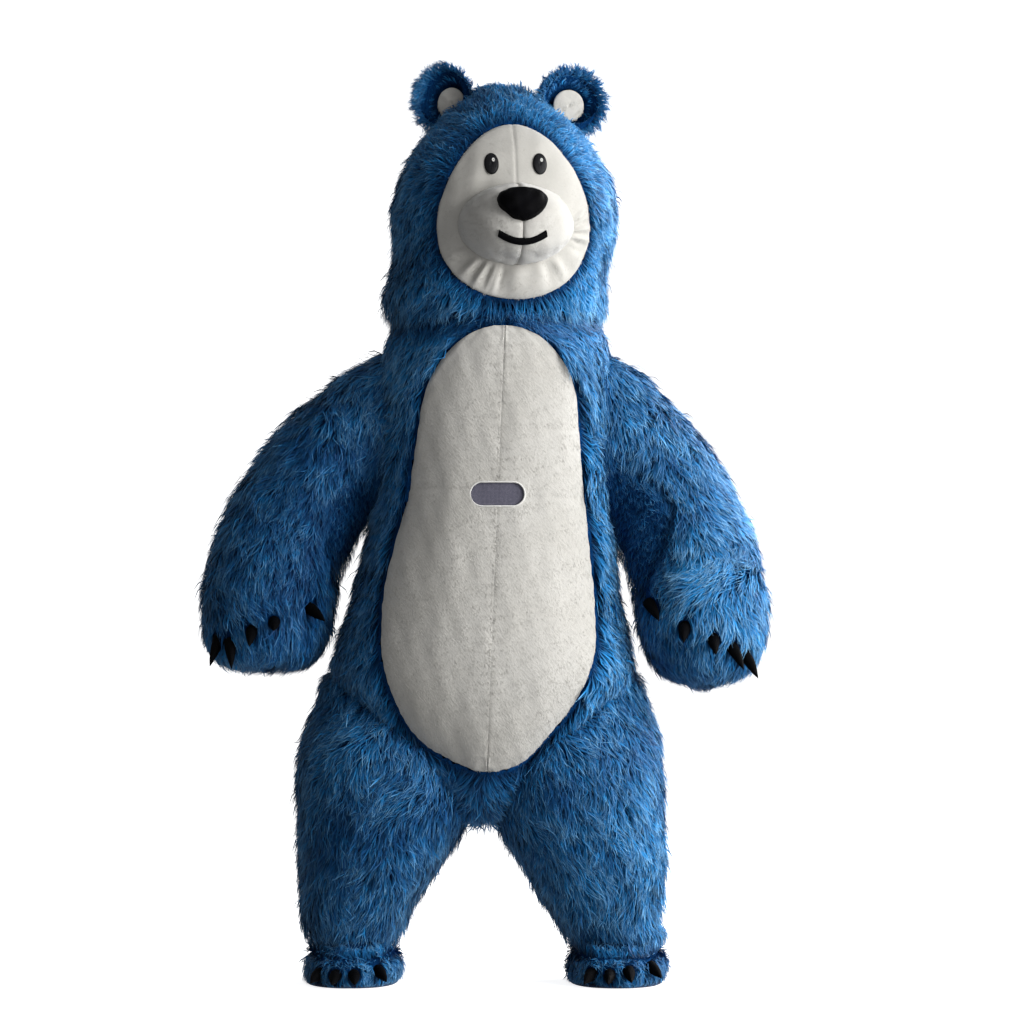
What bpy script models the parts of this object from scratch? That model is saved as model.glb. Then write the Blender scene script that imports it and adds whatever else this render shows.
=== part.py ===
"""Blue bear mascot costume, filled out by its fan and standing on its own soles.

Metres, +Z up, the bear faces -Y, its origin is on the floor between its feet.
Every cloth piece is a wall: long-pile plush is its backing and its lying pile,
the pale pieces are short-pile cloth. Pieces keep a seam gap to each other.
"""

import math
from collections import namedtuple

import bmesh
import bpy
import numpy as np
from mathutils import Matrix, Vector
from mathutils.bvhtree import BVHTree

# Cloth
BACKING = 0.003
PILE_LOFT = 0.025
FUR = BACKING + PILE_LOFT
NAP = 0.004
NAP_DEPTH = 0.019
GAP = 0.0003
HALF_SEAM = GAP / 2

# Where the table's origin stands from the middle of the whole figure
FIGURE_X = -0.001
FIGURE_Y = 0.063

# Heights and seams
NECK_Z = 2.190
ANKLE_Z = 0.140
SOLE = 0.010
BELLY_TOP = 2.132
BELLY_BOTTOM = 0.700
SEAM_X_AT_TOP = 0.068
SEAM_X_AT_BOTTOM = 0.010

# Head and face
HEAD_X = 0.063
HEAD_Z = 2.500
HEAD_TURN = math.radians(7)
FACE_HALF_WIDTH = 0.245
FACE_HALF_HEIGHT = 0.285
MUZZLE_HALF_WIDTH = 0.185
MUZZLE_HALF_HEIGHT = 0.130
MUZZLE_W = -0.045
MUZZLE_FRONT = 0.520
MUZZLE_WALL = 0.006
GATHERS = 16

# Window in the belly
WINDOW_X = 0.044
WINDOW_Z = 1.590
WINDOW_HALF_WIDTH = 0.086
WINDOW_HALF_HEIGHT = 0.037
PIPING = 0.004

# Zip down the centre of the back
ZIP_TOP = 1.930
TAPE_TOP = 1.960
ZIP_BOTTOM = 1.000
TAPE_HALF_WIDTH = 0.016
TAPE = 0.002
COIL_HALF_WIDTH = 0.0032
COIL = 0.0022
SLIDER_LENGTH = 0.024
BAR_RADIUS = 0.0016
TAB_LENGTH = 0.045

# Slider and pull tab in detail, across the zip, along it and out of the back
SLIDER_BELOW_TOP = 0.030
SLIDER_HALF_WIDTH = 0.0080
SLIDER_FLOAT = 0.0008
SLIDER_PLATE = 0.0022
GROOVE_ROOM = 0.0006
POST_LEFT_EDGES = (-0.0052, 0.0030)
POST_WIDTH = 0.0022
POST_HALF_LENGTH = 0.0026
BAR_HALF_LENGTH = 0.0045
BAR_ABOVE_PLATE = 0.0058
EYE_HALF_WIDTH = 0.0024
EYE_RADIUS = 0.0036
EYE_ROOM = 0.0005
NECK_LENGTH = 0.0120
NECK_HALF_THICKNESS = 0.0010
GRIP_HALF_WIDTH = 0.0055
GRIP_HALF_THICKNESS = 0.0011
PAST = 0.001

# Mesh density
BODY_SEGMENTS = 28
HEAD_SEGMENTS = 26
LIMB_SEGMENTS = 16
SQUARENESS = 2.3
FINE = 5
FACE_POINTS = 48
MUZZLE_POINTS = 24

Level = namedtuple("Level", "z centre half_width front back")
Station = namedtuple("Station", "x y z half_width half_depth")
Edge = namedtuple("Edge", "z left right")

# From the crotch up to the neck seam
TORSO = [
    Level(0.530, -0.002, 0.050, 0.120, 0.120),
    Level(0.570, -0.002, 0.105, 0.220, 0.220),
    Level(0.640, -0.003, 0.180, 0.305, 0.300),
    Level(0.730, -0.004, 0.275, 0.375, 0.360),
    Level(0.820, -0.005, 0.362, 0.420, 0.400),
    Level(0.920, -0.004, 0.445, 0.448, 0.422),
    Level(1.000, -0.002, 0.495, 0.458, 0.432),
    Level(1.075, -0.002, 0.487, 0.462, 0.432),
    Level(1.190, 0.003, 0.454, 0.456, 0.420),
    Level(1.330, 0.010, 0.423, 0.436, 0.398),
    Level(1.490, 0.022, 0.397, 0.406, 0.370),
    Level(1.660, 0.031, 0.384, 0.382, 0.350),
    Level(1.830, 0.035, 0.378, 0.366, 0.341),
    Level(2.000, 0.040, 0.370, 0.354, 0.336),
    Level(2.130, 0.037, 0.360, 0.343, 0.333),
    Level(NECK_Z, 0.033, 0.343, 0.326, 0.324),
]

# From the neck seam up to the crown
HEAD = [
    Level(NECK_Z + GAP, 0.033, 0.343, 0.326, 0.324),
    Level(2.240, 0.035, 0.352, 0.346, 0.341),
    Level(2.325, 0.049, 0.350, 0.355, 0.348),
    Level(2.405, 0.061, 0.357, 0.363, 0.357),
    Level(2.490, 0.064, 0.368, 0.368, 0.364),
    Level(2.575, 0.066, 0.358, 0.363, 0.362),
    Level(2.640, 0.065, 0.335, 0.347, 0.348),
    Level(2.705, 0.065, 0.299, 0.319, 0.324),
    Level(2.770, 0.065, 0.250, 0.275, 0.284),
    Level(2.835, 0.064, 0.188, 0.213, 0.224),
    Level(2.895, 0.061, 0.106, 0.125, 0.133),
]
CROWN = Vector((0.059, 0.0, 2.929))

# From the ankle gathers up into the hip, the viewer's left leg first
LEG_LEFT = [
    Level(ANKLE_Z, -0.428, 0.152, 0.200, 0.200),
    Level(0.172, -0.427, 0.166, 0.222, 0.214),
    Level(0.220, -0.420, 0.177, 0.238, 0.228),
    Level(0.285, -0.403, 0.197, 0.256, 0.248),
    Level(0.375, -0.373, 0.230, 0.287, 0.279),
    Level(0.465, -0.345, 0.261, 0.316, 0.309),
    Level(0.550, -0.325, 0.287, 0.336, 0.332),
    Level(0.640, -0.313, 0.301, 0.346, 0.344),
    Level(0.740, -0.313, 0.295, 0.338, 0.338),
    Level(0.840, -0.322, 0.257, 0.304, 0.306),
    Level(0.920, -0.337, 0.208, 0.248, 0.252),
    Level(0.980, -0.366, 0.160, 0.178, 0.184),
    Level(1.015, -0.390, 0.112, 0.110, 0.115),
]
LEG_RIGHT = [
    Level(ANKLE_Z, 0.424, 0.160, 0.200, 0.200),
    Level(0.172, 0.420, 0.172, 0.222, 0.214),
    Level(0.220, 0.397, 0.179, 0.238, 0.228),
    Level(0.285, 0.380, 0.203, 0.256, 0.248),
    Level(0.375, 0.357, 0.235, 0.287, 0.279),
    Level(0.465, 0.326, 0.262, 0.316, 0.309),
    Level(0.550, 0.304, 0.284, 0.336, 0.332),
    Level(0.640, 0.294, 0.291, 0.346, 0.344),
    Level(0.740, 0.292, 0.288, 0.338, 0.338),
    Level(0.840, 0.302, 0.256, 0.304, 0.306),
    Level(0.920, 0.320, 0.213, 0.248, 0.252),
    Level(0.980, 0.352, 0.164, 0.178, 0.184),
    Level(1.015, 0.376, 0.118, 0.110, 0.115),
]
HIP_TOP = 1.034

# From the sole up to the ankle gathers
FOOT_LEFT = [
    Level(SOLE + GAP, -0.430, 0.150, 0.300, 0.195),
    Level(0.035, -0.428, 0.161, 0.318, 0.206),
    Level(0.070, -0.426, 0.163, 0.308, 0.212),
    Level(0.105, -0.427, 0.157, 0.262, 0.208),
    Level(ANKLE_Z - GAP, -0.428, 0.152, 0.200, 0.200),
]
FOOT_RIGHT = [
    Level(SOLE + GAP, 0.430, 0.152, 0.300, 0.195),
    Level(0.035, 0.432, 0.164, 0.318, 0.206),
    Level(0.070, 0.434, 0.165, 0.308, 0.212),
    Level(0.105, 0.430, 0.162, 0.262, 0.208),
    Level(ANKLE_Z - GAP, 0.424, 0.160, 0.200, 0.200),
]

# From inside the chest down to the paw
ARM_LEFT = [
    Station(-0.175, 0.020, 1.945, 0.180, 0.150),
    Station(-0.325, 0.016, 1.835, 0.202, 0.172),
    Station(-0.432, 0.008, 1.738, 0.214, 0.186),
    Station(-0.528, -0.003, 1.632, 0.218, 0.197),
    Station(-0.604, -0.018, 1.522, 0.220, 0.206),
    Station(-0.657, -0.038, 1.412, 0.221, 0.211),
    Station(-0.690, -0.062, 1.300, 0.219, 0.213),
    Station(-0.705, -0.082, 1.195, 0.216, 0.211),
    Station(-0.708, -0.096, 1.110, 0.199, 0.195),
    Station(-0.708, -0.102, 1.058, 0.163, 0.162),
    Station(-0.708, -0.105, 1.030, 0.095, 0.095),
]
PAW_END_LEFT = Vector((-0.708, -0.106, 1.022))
ARM_RIGHT = [
    Station(0.255, 0.020, 1.932, 0.182, 0.150),
    Station(0.362, 0.014, 1.838, 0.212, 0.176),
    Station(0.466, 0.006, 1.726, 0.216, 0.187),
    Station(0.548, -0.005, 1.626, 0.220, 0.198),
    Station(0.614, -0.020, 1.520, 0.221, 0.206),
    Station(0.663, -0.040, 1.405, 0.220, 0.210),
    Station(0.696, -0.064, 1.285, 0.217, 0.210),
    Station(0.713, -0.083, 1.175, 0.211, 0.207),
    Station(0.727, -0.096, 1.080, 0.191, 0.190),
    Station(0.738, -0.102, 1.018, 0.148, 0.150),
    Station(0.743, -0.105, 0.983, 0.084, 0.086),
]
PAW_END_RIGHT = Vector((0.744, -0.106, 0.973))
ELBOW_STATION = 4

# Outline of the belly panel as seen from the front
BELLY = [
    Edge(BELLY_BOTTOM, -0.010, 0.042),
    Edge(0.712, -0.062, 0.092),
    Edge(0.745, -0.136, 0.148),
    Edge(0.804, -0.211, 0.201),
    Edge(0.901, -0.275, 0.285),
    Edge(0.998, -0.314, 0.334),
    Edge(1.095, -0.330, 0.360),
    Edge(1.192, -0.327, 0.360),
    Edge(1.290, -0.318, 0.356),
    Edge(1.387, -0.298, 0.347),
    Edge(1.484, -0.275, 0.334),
    Edge(1.581, -0.249, 0.323),
    Edge(1.678, -0.233, 0.314),
    Edge(1.800, -0.212, 0.306),
    Edge(1.921, -0.188, 0.294),
    Edge(1.983, -0.162, 0.275),
    Edge(2.041, -0.123, 0.240),
    Edge(2.095, -0.062, 0.185),
    Edge(2.122, -0.005, 0.128),
    Edge(BELLY_TOP, 0.036, 0.088),
]
BELLY_COLUMNS = 4

Claw = namedtuple("Claw", "x z aim")
HAND_CLAWS = {
    "left": [
        Claw(-0.862, 1.106, (-0.30, -0.50, -0.80)),
        Claw(-0.818, 1.098, (0.10, -0.60, -0.78)),
        Claw(-0.748, 1.143, (-0.05, -0.92, -0.38)),
        Claw(-0.674, 1.176, (0.02, -0.99, -0.12)),
        Claw(-0.552, 1.216, (0.60, -0.74, -0.30)),
    ],
    "right": [
        Claw(0.540, 1.228, (0.36, -0.82, -0.44)),
        Claw(0.645, 1.155, (-0.06, -0.92, -0.38)),
        Claw(0.740, 1.116, (0.06, -0.92, -0.38)),
        Claw(0.808, 1.084, (0.40, -0.68, -0.62)),
        Claw(0.852, 1.058, (0.46, -0.56, -0.68)),
    ],
}
FOOT_CLAWS = {
    "left": [
        Claw(-0.536, 0.042, (-0.28, -0.95, -0.10)),
        Claw(-0.478, 0.041, (-0.12, -0.98, -0.10)),
        Claw(-0.416, 0.042, (0.05, -0.99, -0.10)),
        Claw(-0.334, 0.052, (0.32, -0.93, -0.16)),
    ],
    "right": [
        Claw(0.342, 0.042, (-0.28, -0.95, -0.10)),
        Claw(0.404, 0.043, (-0.08, -0.98, -0.10)),
        Claw(0.468, 0.052, (0.08, -0.98, -0.14)),
        Claw(0.546, 0.062, (0.36, -0.91, -0.16)),
    ],
}
CLAW_OUT = 0.070
CLAW_ROOT = 0.024
CLAW_RADIUS = 0.020
CLAW_DROOP = 0.016

CLAW_FLATNESS = 0.9
CLAW_TAPER = 2.2

# Features of the face, in its own across and up
NOSE_ABOVE_MUZZLE = 0.056
NOSE_HALF_WIDTH = 0.078
NOSE_HALF_HEIGHT = 0.056
NOSE_SPREAD = 0.28
NOSE_PROFILE = [(0.90, 0.440), (1.0, 0.490), (0.95, 0.525), (0.78, 0.545), (0.42, 0.556)]
NOSE_TIP = 0.559
MOUTH_BELOW_MUZZLE = 0.072
MOUTH_HALF_WIDTH = 0.078
MOUTH_CURVE = 0.026
MOUTH_HEIGHT = 0.020
MOUTH_THICKNESS = 0.003
MOUTH_STEPS = 12
EYE_ASIDE = 0.078
EYE_ABOVE = 0.150
EYE_HALF_SIZE = (0.021, 0.033)
EYE_FRONT = 0.0032
EYE_BACK = 0.0007
MUZZLE_SHARES = (1.0, 0.975, 0.89, 0.72, 0.48, 0.24)
MUZZLE_ROUNDNESS = (2.7, 2.1)
GATHER_HEIGHT = 0.0045

Ear = namedtuple("Ear", "x z half_width half_height turn")
EARS = {
    "left": Ear(-0.130, 2.888, 0.102, 0.112, math.radians(-16)),
    "right": Ear(0.274, 2.878, 0.116, 0.110, math.radians(20)),
}
EAR_Y = 0.020
# Depth along the ear's own axis, front first, and the share of its outline there
EAR_PROFILE = [
    (-0.018, 0.46), (-0.024, 0.58), (-0.046, 0.70), (-0.054, 0.82), (-0.040, 0.94),
    (0.000, 1.00), (0.034, 0.88), (0.054, 0.62),
]
EAR_BACK = 0.060
# The dish lies low in the ear and towards the head
EAR_DISH = {"left": (0.030, -0.021), "right": (-0.006, -0.017)}
EAR_PALE = 0.45

Finish = namedtuple("Finish", "colour roughness metallic")
FINISHES = {
    "blue_fur": Finish((0.030, 0.130, 0.420), 0.85, 0.0),
    "pale_nap": Finish((0.620, 0.600, 0.560), 0.95, 0.0),
    "black_plush": Finish((0.008, 0.008, 0.010), 0.45, 0.0),
    "window_mesh": Finish((0.155, 0.150, 0.205), 0.80, 0.0),
    "white_piping": Finish((0.700, 0.690, 0.660), 0.60, 0.0),
    "zip_tape": Finish((0.018, 0.060, 0.190), 0.80, 0.0),
    "zip_metal": Finish((0.300, 0.310, 0.330), 0.35, 1.0),
    "sole_cloth": Finish((0.015, 0.040, 0.110), 0.80, 0.0),
}


def clear_scene():
    for obj in list(bpy.data.objects):
        bpy.data.objects.remove(obj, do_unlink=True)


def material(name):
    found = bpy.data.materials.get(name)
    if found:
        return found
    finish = FINISHES[name]
    made = bpy.data.materials.new(name)
    made.use_nodes = True
    shader = made.node_tree.nodes["Principled BSDF"]
    shader.inputs["Base Color"].default_value = (*finish.colour, 1.0)
    shader.inputs["Roughness"].default_value = finish.roughness
    shader.inputs["Metallic"].default_value = finish.metallic
    return made


def smoothed(rows, steps):
    """Rows along a smooth curve through the table's rows, this many steps from one to the next."""
    values = np.array(rows, float)
    lengths = np.linalg.norm(np.diff(values, axis=0), axis=1)
    at = np.concatenate([[0.0], np.cumsum(lengths)])
    slopes = np.gradient(values, at, axis=0)
    out = []
    for i, length in enumerate(lengths):
        for t in np.arange(steps) / steps:
            h = (2 * t**3 - 3 * t**2 + 1, t**3 - 2 * t**2 + t, 3 * t**2 - 2 * t**3, t**3 - t**2)
            out.append(
                h[0] * values[i] + h[1] * length * slopes[i]
                + h[2] * values[i + 1] + h[3] * length * slopes[i + 1]
            )
    out.append(values[-1])
    return np.array(out)


def level_ring(row, segments):
    """One closed section at its height: a rounded square-ish oval, its front towards -Y."""
    z, centre, half_width, front, back = row
    angle = (np.arange(segments) + 0.5) * 2 * math.pi / segments
    c, s = np.cos(angle), np.sin(angle)
    across = np.sign(c) * np.abs(c) ** (2 / SQUARENESS)
    along = np.sign(s) * np.abs(s) ** (2 / SQUARENESS)
    depth = np.where(s < 0, front, back)
    return np.stack([centre + half_width * across, depth * along, np.full(segments, z)], axis=1)


def level_grid(rows, segments, steps=1):
    return np.array([level_ring(row, segments) for row in smoothed(rows, steps)])


def limb_grid(rows, segments, steps=1):
    """Oval sections square to the line through their centres."""
    rows = smoothed(rows, steps)
    centres = rows[:, :3]
    tangents = np.gradient(centres, axis=0)
    tangents /= np.linalg.norm(tangents, axis=1, keepdims=True)
    angle = (np.arange(segments) + 0.5) * 2 * math.pi / segments
    grid = []
    for centre, tangent, (half_width, half_depth) in zip(centres, tangents, rows[:, 3:]):
        side = np.cross((0, 1, 0), tangent)
        side /= np.linalg.norm(side)
        deep = np.cross(tangent, side)
        grid.append(
            centre
            + np.outer(np.cos(angle) * half_width, side)
            + np.outer(np.sin(angle) * half_depth, deep)
        )
    return np.array(grid)


def inset(grid, depth, low_tip=None, high_tip=None):
    """The grid moved in by this depth along its own normals, and its tips with it."""
    low = grid[:1] if low_tip is None else np.broadcast_to(np.array(low_tip), grid[:1].shape)
    high = grid[-1:] if high_tip is None else np.broadcast_to(np.array(high_tip), grid[:1].shape)
    along = np.concatenate([grid[1:], high]) - np.concatenate([low, grid[:-1]])
    around = np.roll(grid, -1, axis=1) - np.roll(grid, 1, axis=1)
    normal = np.cross(around, along)
    normal /= np.linalg.norm(normal, axis=2, keepdims=True)
    moved = grid - depth * normal
    tips = []
    for tip, ring in ((low_tip, grid[0]), (high_tip, grid[-1])):
        if tip is not None:
            inward = Vector(ring.mean(axis=0)) - Vector(tip)
            tip = Vector(tip) + inward.normalized() * depth
        tips.append(tip)
    return moved, tips[0], tips[1]


def add_object(name, mesh_or_bmesh, finish=None):
    """A visible piece with its finish, or, with none, a hidden cutter."""
    if isinstance(mesh_or_bmesh, bmesh.types.BMesh):
        mesh = bpy.data.meshes.new(name)
        bmesh.ops.recalc_face_normals(mesh_or_bmesh, faces=mesh_or_bmesh.faces)
        mesh_or_bmesh.to_mesh(mesh)
        mesh_or_bmesh.free()
    else:
        mesh = mesh_or_bmesh
    obj = bpy.data.objects.new(name, mesh)
    bpy.context.scene.collection.objects.link(obj)
    if finish is None:
        obj.hide_render = True
        obj.display_type = "WIRE"
    else:
        mesh.materials.clear()
        mesh.materials.append(material(finish))
        mesh.shade_smooth()
        mesh.set_sharp_from_angle(angle=math.radians(40))
    return obj


def closed_tube(grid, low_tip=None, high_tip=None):
    """A bmesh of the grid in triangles, with both ends closed, at their tips or flat."""
    bm = bmesh.new()
    rings = [[bm.verts.new(p) for p in ring] for ring in grid]
    for lower, upper in zip(rings, rings[1:]):
        for j in range(len(lower)):
            k = (j + 1) % len(lower)
            bm.faces.new((lower[j], lower[k], upper[k]))
            bm.faces.new((lower[j], upper[k], upper[j]))
    ends = ((rings[0], grid[0], low_tip, True), (rings[-1], grid[-1], high_tip, False))
    for ring, points, tip, turned in ends:
        end = bm.verts.new(points.mean(axis=0) if tip is None else tip)
        for j in range(len(ring)):
            k = (j + 1) % len(ring)
            bm.faces.new((end, ring[k], ring[j]) if turned else (end, ring[j], ring[k]))
    return bm


class Form:
    """A hollow shape of the costume, as sections from which solids at any depth are made."""

    def __init__(self, name, kind, rows, segments, low_tip=None, high_tip=None):
        self.name = name
        self.kind = kind
        self.rows = rows
        self.segments = segments
        self.tips = (low_tip, high_tip)
        self.trees = {}

    def grid(self, depth, steps=1, segments=None):
        make = level_grid if self.kind == "level" else limb_grid
        return inset(make(self.rows, segments or self.segments, steps), depth, *self.tips)

    def cutter(self, depth, label, past_low=None, past_high=None):
        """The whole solid inside the surface at this depth; an open end runs on past its seam."""
        grid, low, high = self.grid(depth)
        if past_low is not None:
            grid = np.concatenate([grid[:1] + np.array(past_low), grid])
        if past_high is not None:
            grid = np.concatenate([grid, grid[-1:] + np.array(past_high)])
        return add_object(f"cut_{self.name}_{label}", closed_tube(grid, low, high))

    def tree(self, depth):
        """A finely divided surface at this depth, for points that lie on it."""
        key = round(depth * 1e5)
        if key not in self.trees:
            grid, low, high = self.grid(depth, FINE, 4 * self.segments)
            bm = closed_tube(grid, low, high)
            bmesh.ops.recalc_face_normals(bm, faces=bm.faces)
            self.trees[key] = BVHTree.FromBMesh(bm)
            bm.free()
        return self.trees[key]

    def on_front(self, x, z, depth):
        return cast(self.tree(depth), Vector((x, -3, z)), Vector((0, 1, 0)))

    def on_back(self, x, z, depth):
        return cast(self.tree(depth), Vector((x, 3, z)), Vector((0, -1, 0)))


def cast(tree, start, direction):
    hit = tree.ray_cast(start, direction)[0]
    if hit is None:
        raise ValueError(f"nothing lies behind {tuple(start)}")
    return hit


def boolean(obj, other, operation="DIFFERENCE"):
    modifier = obj.modifiers.new(operation.title() + str(len(obj.modifiers)), "BOOLEAN")
    modifier.operation = operation
    modifier.solver = "EXACT"
    modifier.object = other


def applied(obj):
    """The object's mesh with its Booleans worked out."""
    bpy.context.view_layer.update()
    graph = bpy.context.evaluated_depsgraph_get()
    mesh = bpy.data.meshes.new_from_object(obj.evaluated_get(graph))
    obj.modifiers.clear()
    obj.data = mesh
    return obj


def drop(obj):
    bpy.data.objects.remove(obj, do_unlink=True)


def cut_to_mesh(obj, cutters):
    for cutter in cutters:
        boolean(obj, cutter)
    return applied(obj)


def islands(obj):
    """One bmesh for each body of the object's mesh, largest first, with hairline slits closed."""
    bm = bmesh.new()
    bm.from_mesh(obj.data)
    bm.verts.ensure_lookup_table()
    seen = set()
    groups = []
    for start in bm.verts:
        if start in seen:
            continue
        stack = [start]
        seen.add(start)
        group = []
        while stack:
            vert = stack.pop()
            group.append(vert)
            for edge in vert.link_edges:
                other = edge.other_vert(vert)
                if other not in seen:
                    seen.add(other)
                    stack.append(other)
        groups.append(group)
    bodies = []
    for group in sorted(groups, key=len, reverse=True):
        inside = {vert: None for vert in group}
        body = bmesh.new()
        for vert in group:
            inside[vert] = body.verts.new(vert.co)
        for face in bm.faces:
            if face.verts[0] in inside:
                body.faces.new([inside[vert] for vert in face.verts])
        slits = [edge for edge in body.edges if edge.is_boundary]
        if slits:
            bmesh.ops.holes_fill(body, edges=slits, sides=4)
        bodies.append(body)
    bm.free()
    return bodies


def split_pieces(obj, name_of, finish):
    """Each body of a wall that its seams have parted becomes a piece, named from its middle."""
    for body in islands(obj):
        points = np.array([vert.co for vert in body.verts])
        name = name_of(Vector((points.min(axis=0) + points.max(axis=0)) / 2))
        if len(body.verts) < 12 or name in bpy.data.objects:
            body.free()
            continue
        add_object(name, body, finish)
    drop(obj)


def prism(name, outline, to_world, near, far):
    """A cutter with this outline, run from one distance to another along its own axis."""
    bm = bmesh.new()
    rings = [[bm.verts.new(to_world(u, w, d)) for u, w in outline] for d in (near, far)]
    for j in range(len(outline)):
        k = (j + 1) % len(outline)
        bm.faces.new((rings[0][j], rings[0][k], rings[1][k], rings[1][j]))
    bm.faces.new(rings[0])
    bm.faces.new(rings[1])
    bmesh.ops.triangulate(bm, faces=[f for f in bm.faces if len(f.verts) > 4])
    return add_object(name, bm)


def along_y(u, w, d):
    return Vector((u, d, w))


def face_space(u, w, d):
    """A point of the face: across, up and out, from the middle of the turned head."""
    c, s = math.cos(HEAD_TURN), math.sin(HEAD_TURN)
    return Vector((HEAD_X + c * u + s * d, s * u - c * d, HEAD_Z + w))


def face_out():
    return face_space(0, 0, 1) - face_space(0, 0, 0)


def grown(outline, by):
    """A closed outline moved out by this much, square to its sides."""
    points = np.array(outline, float)
    before, after = np.roll(points, 1, axis=0), np.roll(points, -1, axis=0)
    tangent = after - before
    tangent /= np.linalg.norm(tangent, axis=1, keepdims=True)
    normal = np.stack([tangent[:, 1], -tangent[:, 0]], axis=1)
    area = np.sum(points[:, 0] * after[:, 1] - after[:, 0] * points[:, 1])
    return points + by * np.sign(area) * normal


def seam_x(z):
    """The centre seam leans with the figure."""
    share = (z - BELLY_BOTTOM) / (BELLY_TOP - BELLY_BOTTOM)
    return SEAM_X_AT_BOTTOM + share * (SEAM_X_AT_TOP - SEAM_X_AT_BOTTOM)


def centre_slab(name):
    """A thin cut along the leaning centre seam, from below the crotch to above the neck."""
    low, high = 0.3, 2.4
    outline = [
        (seam_x(low) - HALF_SEAM, low), (seam_x(low) + HALF_SEAM, low),
        (seam_x(high) + HALF_SEAM, high), (seam_x(high) - HALF_SEAM, high),
    ]
    return prism(name, outline, along_y, -1.0, 1.0)


def side_slab(name):
    """A thin cut along the side seams, front from back."""
    outline = [(-1.5, -0.1), (1.5, -0.1), (1.5, 2.6), (-1.5, 2.6)]
    return prism(name, outline, along_y, -HALF_SEAM, HALF_SEAM)


def strip_plate(name, outer, inner, finish):
    """A closed plate between two open grids of the same size."""
    bm = bmesh.new()
    grids = [[[bm.verts.new(p) for p in row] for row in grid] for grid in (outer, inner)]
    rows, columns = len(outer), len(outer[0])
    for grid in grids:
        for i in range(rows - 1):
            for j in range(columns - 1):
                bm.faces.new((grid[i][j], grid[i][j + 1], grid[i + 1][j + 1], grid[i + 1][j]))
    rim = [(0, j) for j in range(columns)] + [(i, columns - 1) for i in range(1, rows)]
    rim += [(rows - 1, j) for j in range(columns - 2, -1, -1)] + [(i, 0) for i in range(rows - 2, 0, -1)]
    for (a, b), (c, d) in zip(rim, rim[1:] + rim[:1]):
        bm.faces.new((grids[0][a][b], grids[0][c][d], grids[1][c][d], grids[1][a][b]))
    return add_object(name, bm, finish)


def disc_plate(name, outline, shares, outer_at, inner_at, finish):
    """A closed plate with this outline; shares are its rings from the rim to the middle."""
    bm = bmesh.new()
    outline = np.array(outline, float)
    middle = outline.mean(axis=0)
    sides = []
    for place in (outer_at, inner_at):
        rings = []
        for share in shares:
            flat = middle + (outline - middle) * share
            rings.append([bm.verts.new(place(u, w)) for u, w in flat])
        for one, two in zip(rings, rings[1:]):
            for j in range(len(one)):
                k = (j + 1) % len(one)
                bm.faces.new((one[j], one[k], two[k], two[j]))
        centre = bm.verts.new(place(*middle))
        for j in range(len(outline)):
            bm.faces.new((rings[-1][j], rings[-1][(j + 1) % len(outline)], centre))
        sides.append(rings[0])
    one, two = sides
    for j in range(len(one)):
        k = (j + 1) % len(one)
        bm.faces.new((one[j], one[k], two[k], two[j]))
    return add_object(name, bm, finish)


def ellipse(half_width, half_height, count, middle=(0, 0)):
    angle = np.arange(count) * 2 * math.pi / count
    return np.stack(
        [middle[0] + half_width * np.cos(angle), middle[1] + half_height * np.sin(angle)], axis=1
    )


def stadium(half_width, half_height, middle, per_end=5):
    points = []
    for side, start in ((1, -math.pi / 2), (-1, math.pi / 2)):
        for i in range(per_end + 1):
            a = start + math.pi * i / per_end
            points.append(
                (
                    middle[0] + side * (half_width - half_height) + half_height * math.cos(a),
                    middle[1] + half_height * math.sin(a),
                )
            )
    return points


def build_forms():
    left_hip = Vector((-0.402, 0.0, HIP_TOP))
    right_hip = Vector((0.388, 0.0, HIP_TOP))
    return {
        "torso": Form("torso", "level", TORSO, BODY_SEGMENTS, low_tip=Vector((-0.002, 0, 0.516))),
        "head": Form("head", "level", HEAD, HEAD_SEGMENTS, high_tip=CROWN),
        "leg_left": Form("leg_left", "level", LEG_LEFT, LIMB_SEGMENTS, high_tip=left_hip),
        "leg_right": Form("leg_right", "level", LEG_RIGHT, LIMB_SEGMENTS, high_tip=right_hip),
        "foot_left": Form("foot_left", "level", FOOT_LEFT, LIMB_SEGMENTS),
        "foot_right": Form("foot_right", "level", FOOT_RIGHT, LIMB_SEGMENTS),
        "arm_left": Form("arm_left", "limb", ARM_LEFT, LIMB_SEGMENTS, high_tip=PAW_END_LEFT),
        "arm_right": Form("arm_right", "limb", ARM_RIGHT, LIMB_SEGMENTS, high_tip=PAW_END_RIGHT),
    }


def build_torso(forms, cuts):
    wall = forms["torso"].cutter(0, "torso_wall")
    belly_outline = [(e.left, e.z) for e in BELLY] + [(e.right, e.z) for e in reversed(BELLY)]
    belly_hole = prism("cut_belly", grown(belly_outline, GAP), along_y, -1.0, -0.10)
    reach = TAPE_HALF_WIDTH + GAP
    channel = [
        (seam_x(ZIP_BOTTOM) - reach, ZIP_BOTTOM - GAP), (seam_x(ZIP_BOTTOM) + reach, ZIP_BOTTOM - GAP),
        (seam_x(TAPE_TOP) + reach, TAPE_TOP + GAP), (seam_x(TAPE_TOP) - reach, TAPE_TOP + GAP),
    ]
    zip_slot = prism("cut_zip", channel, along_y, 0.10, 1.0)
    cut_to_mesh(
        wall,
        [
            forms["torso"].cutter(FUR, "inside", past_high=(0, 0, 0.06)),
            cuts["arm_left_inside"], cuts["arm_right_inside"],
            cuts["leg_left_inside"], cuts["leg_right_inside"],
            belly_hole, zip_slot, centre_slab("cut_centre"), cuts["side"],
        ],
    )

    def name_of(middle):
        face = "front" if middle.y < 0 else "back"
        side = "left" if middle.x < seam_x(middle.z) else "right"
        return f"torso_{face}_{side}"

    split_pieces(wall, name_of, "blue_fur")


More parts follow.
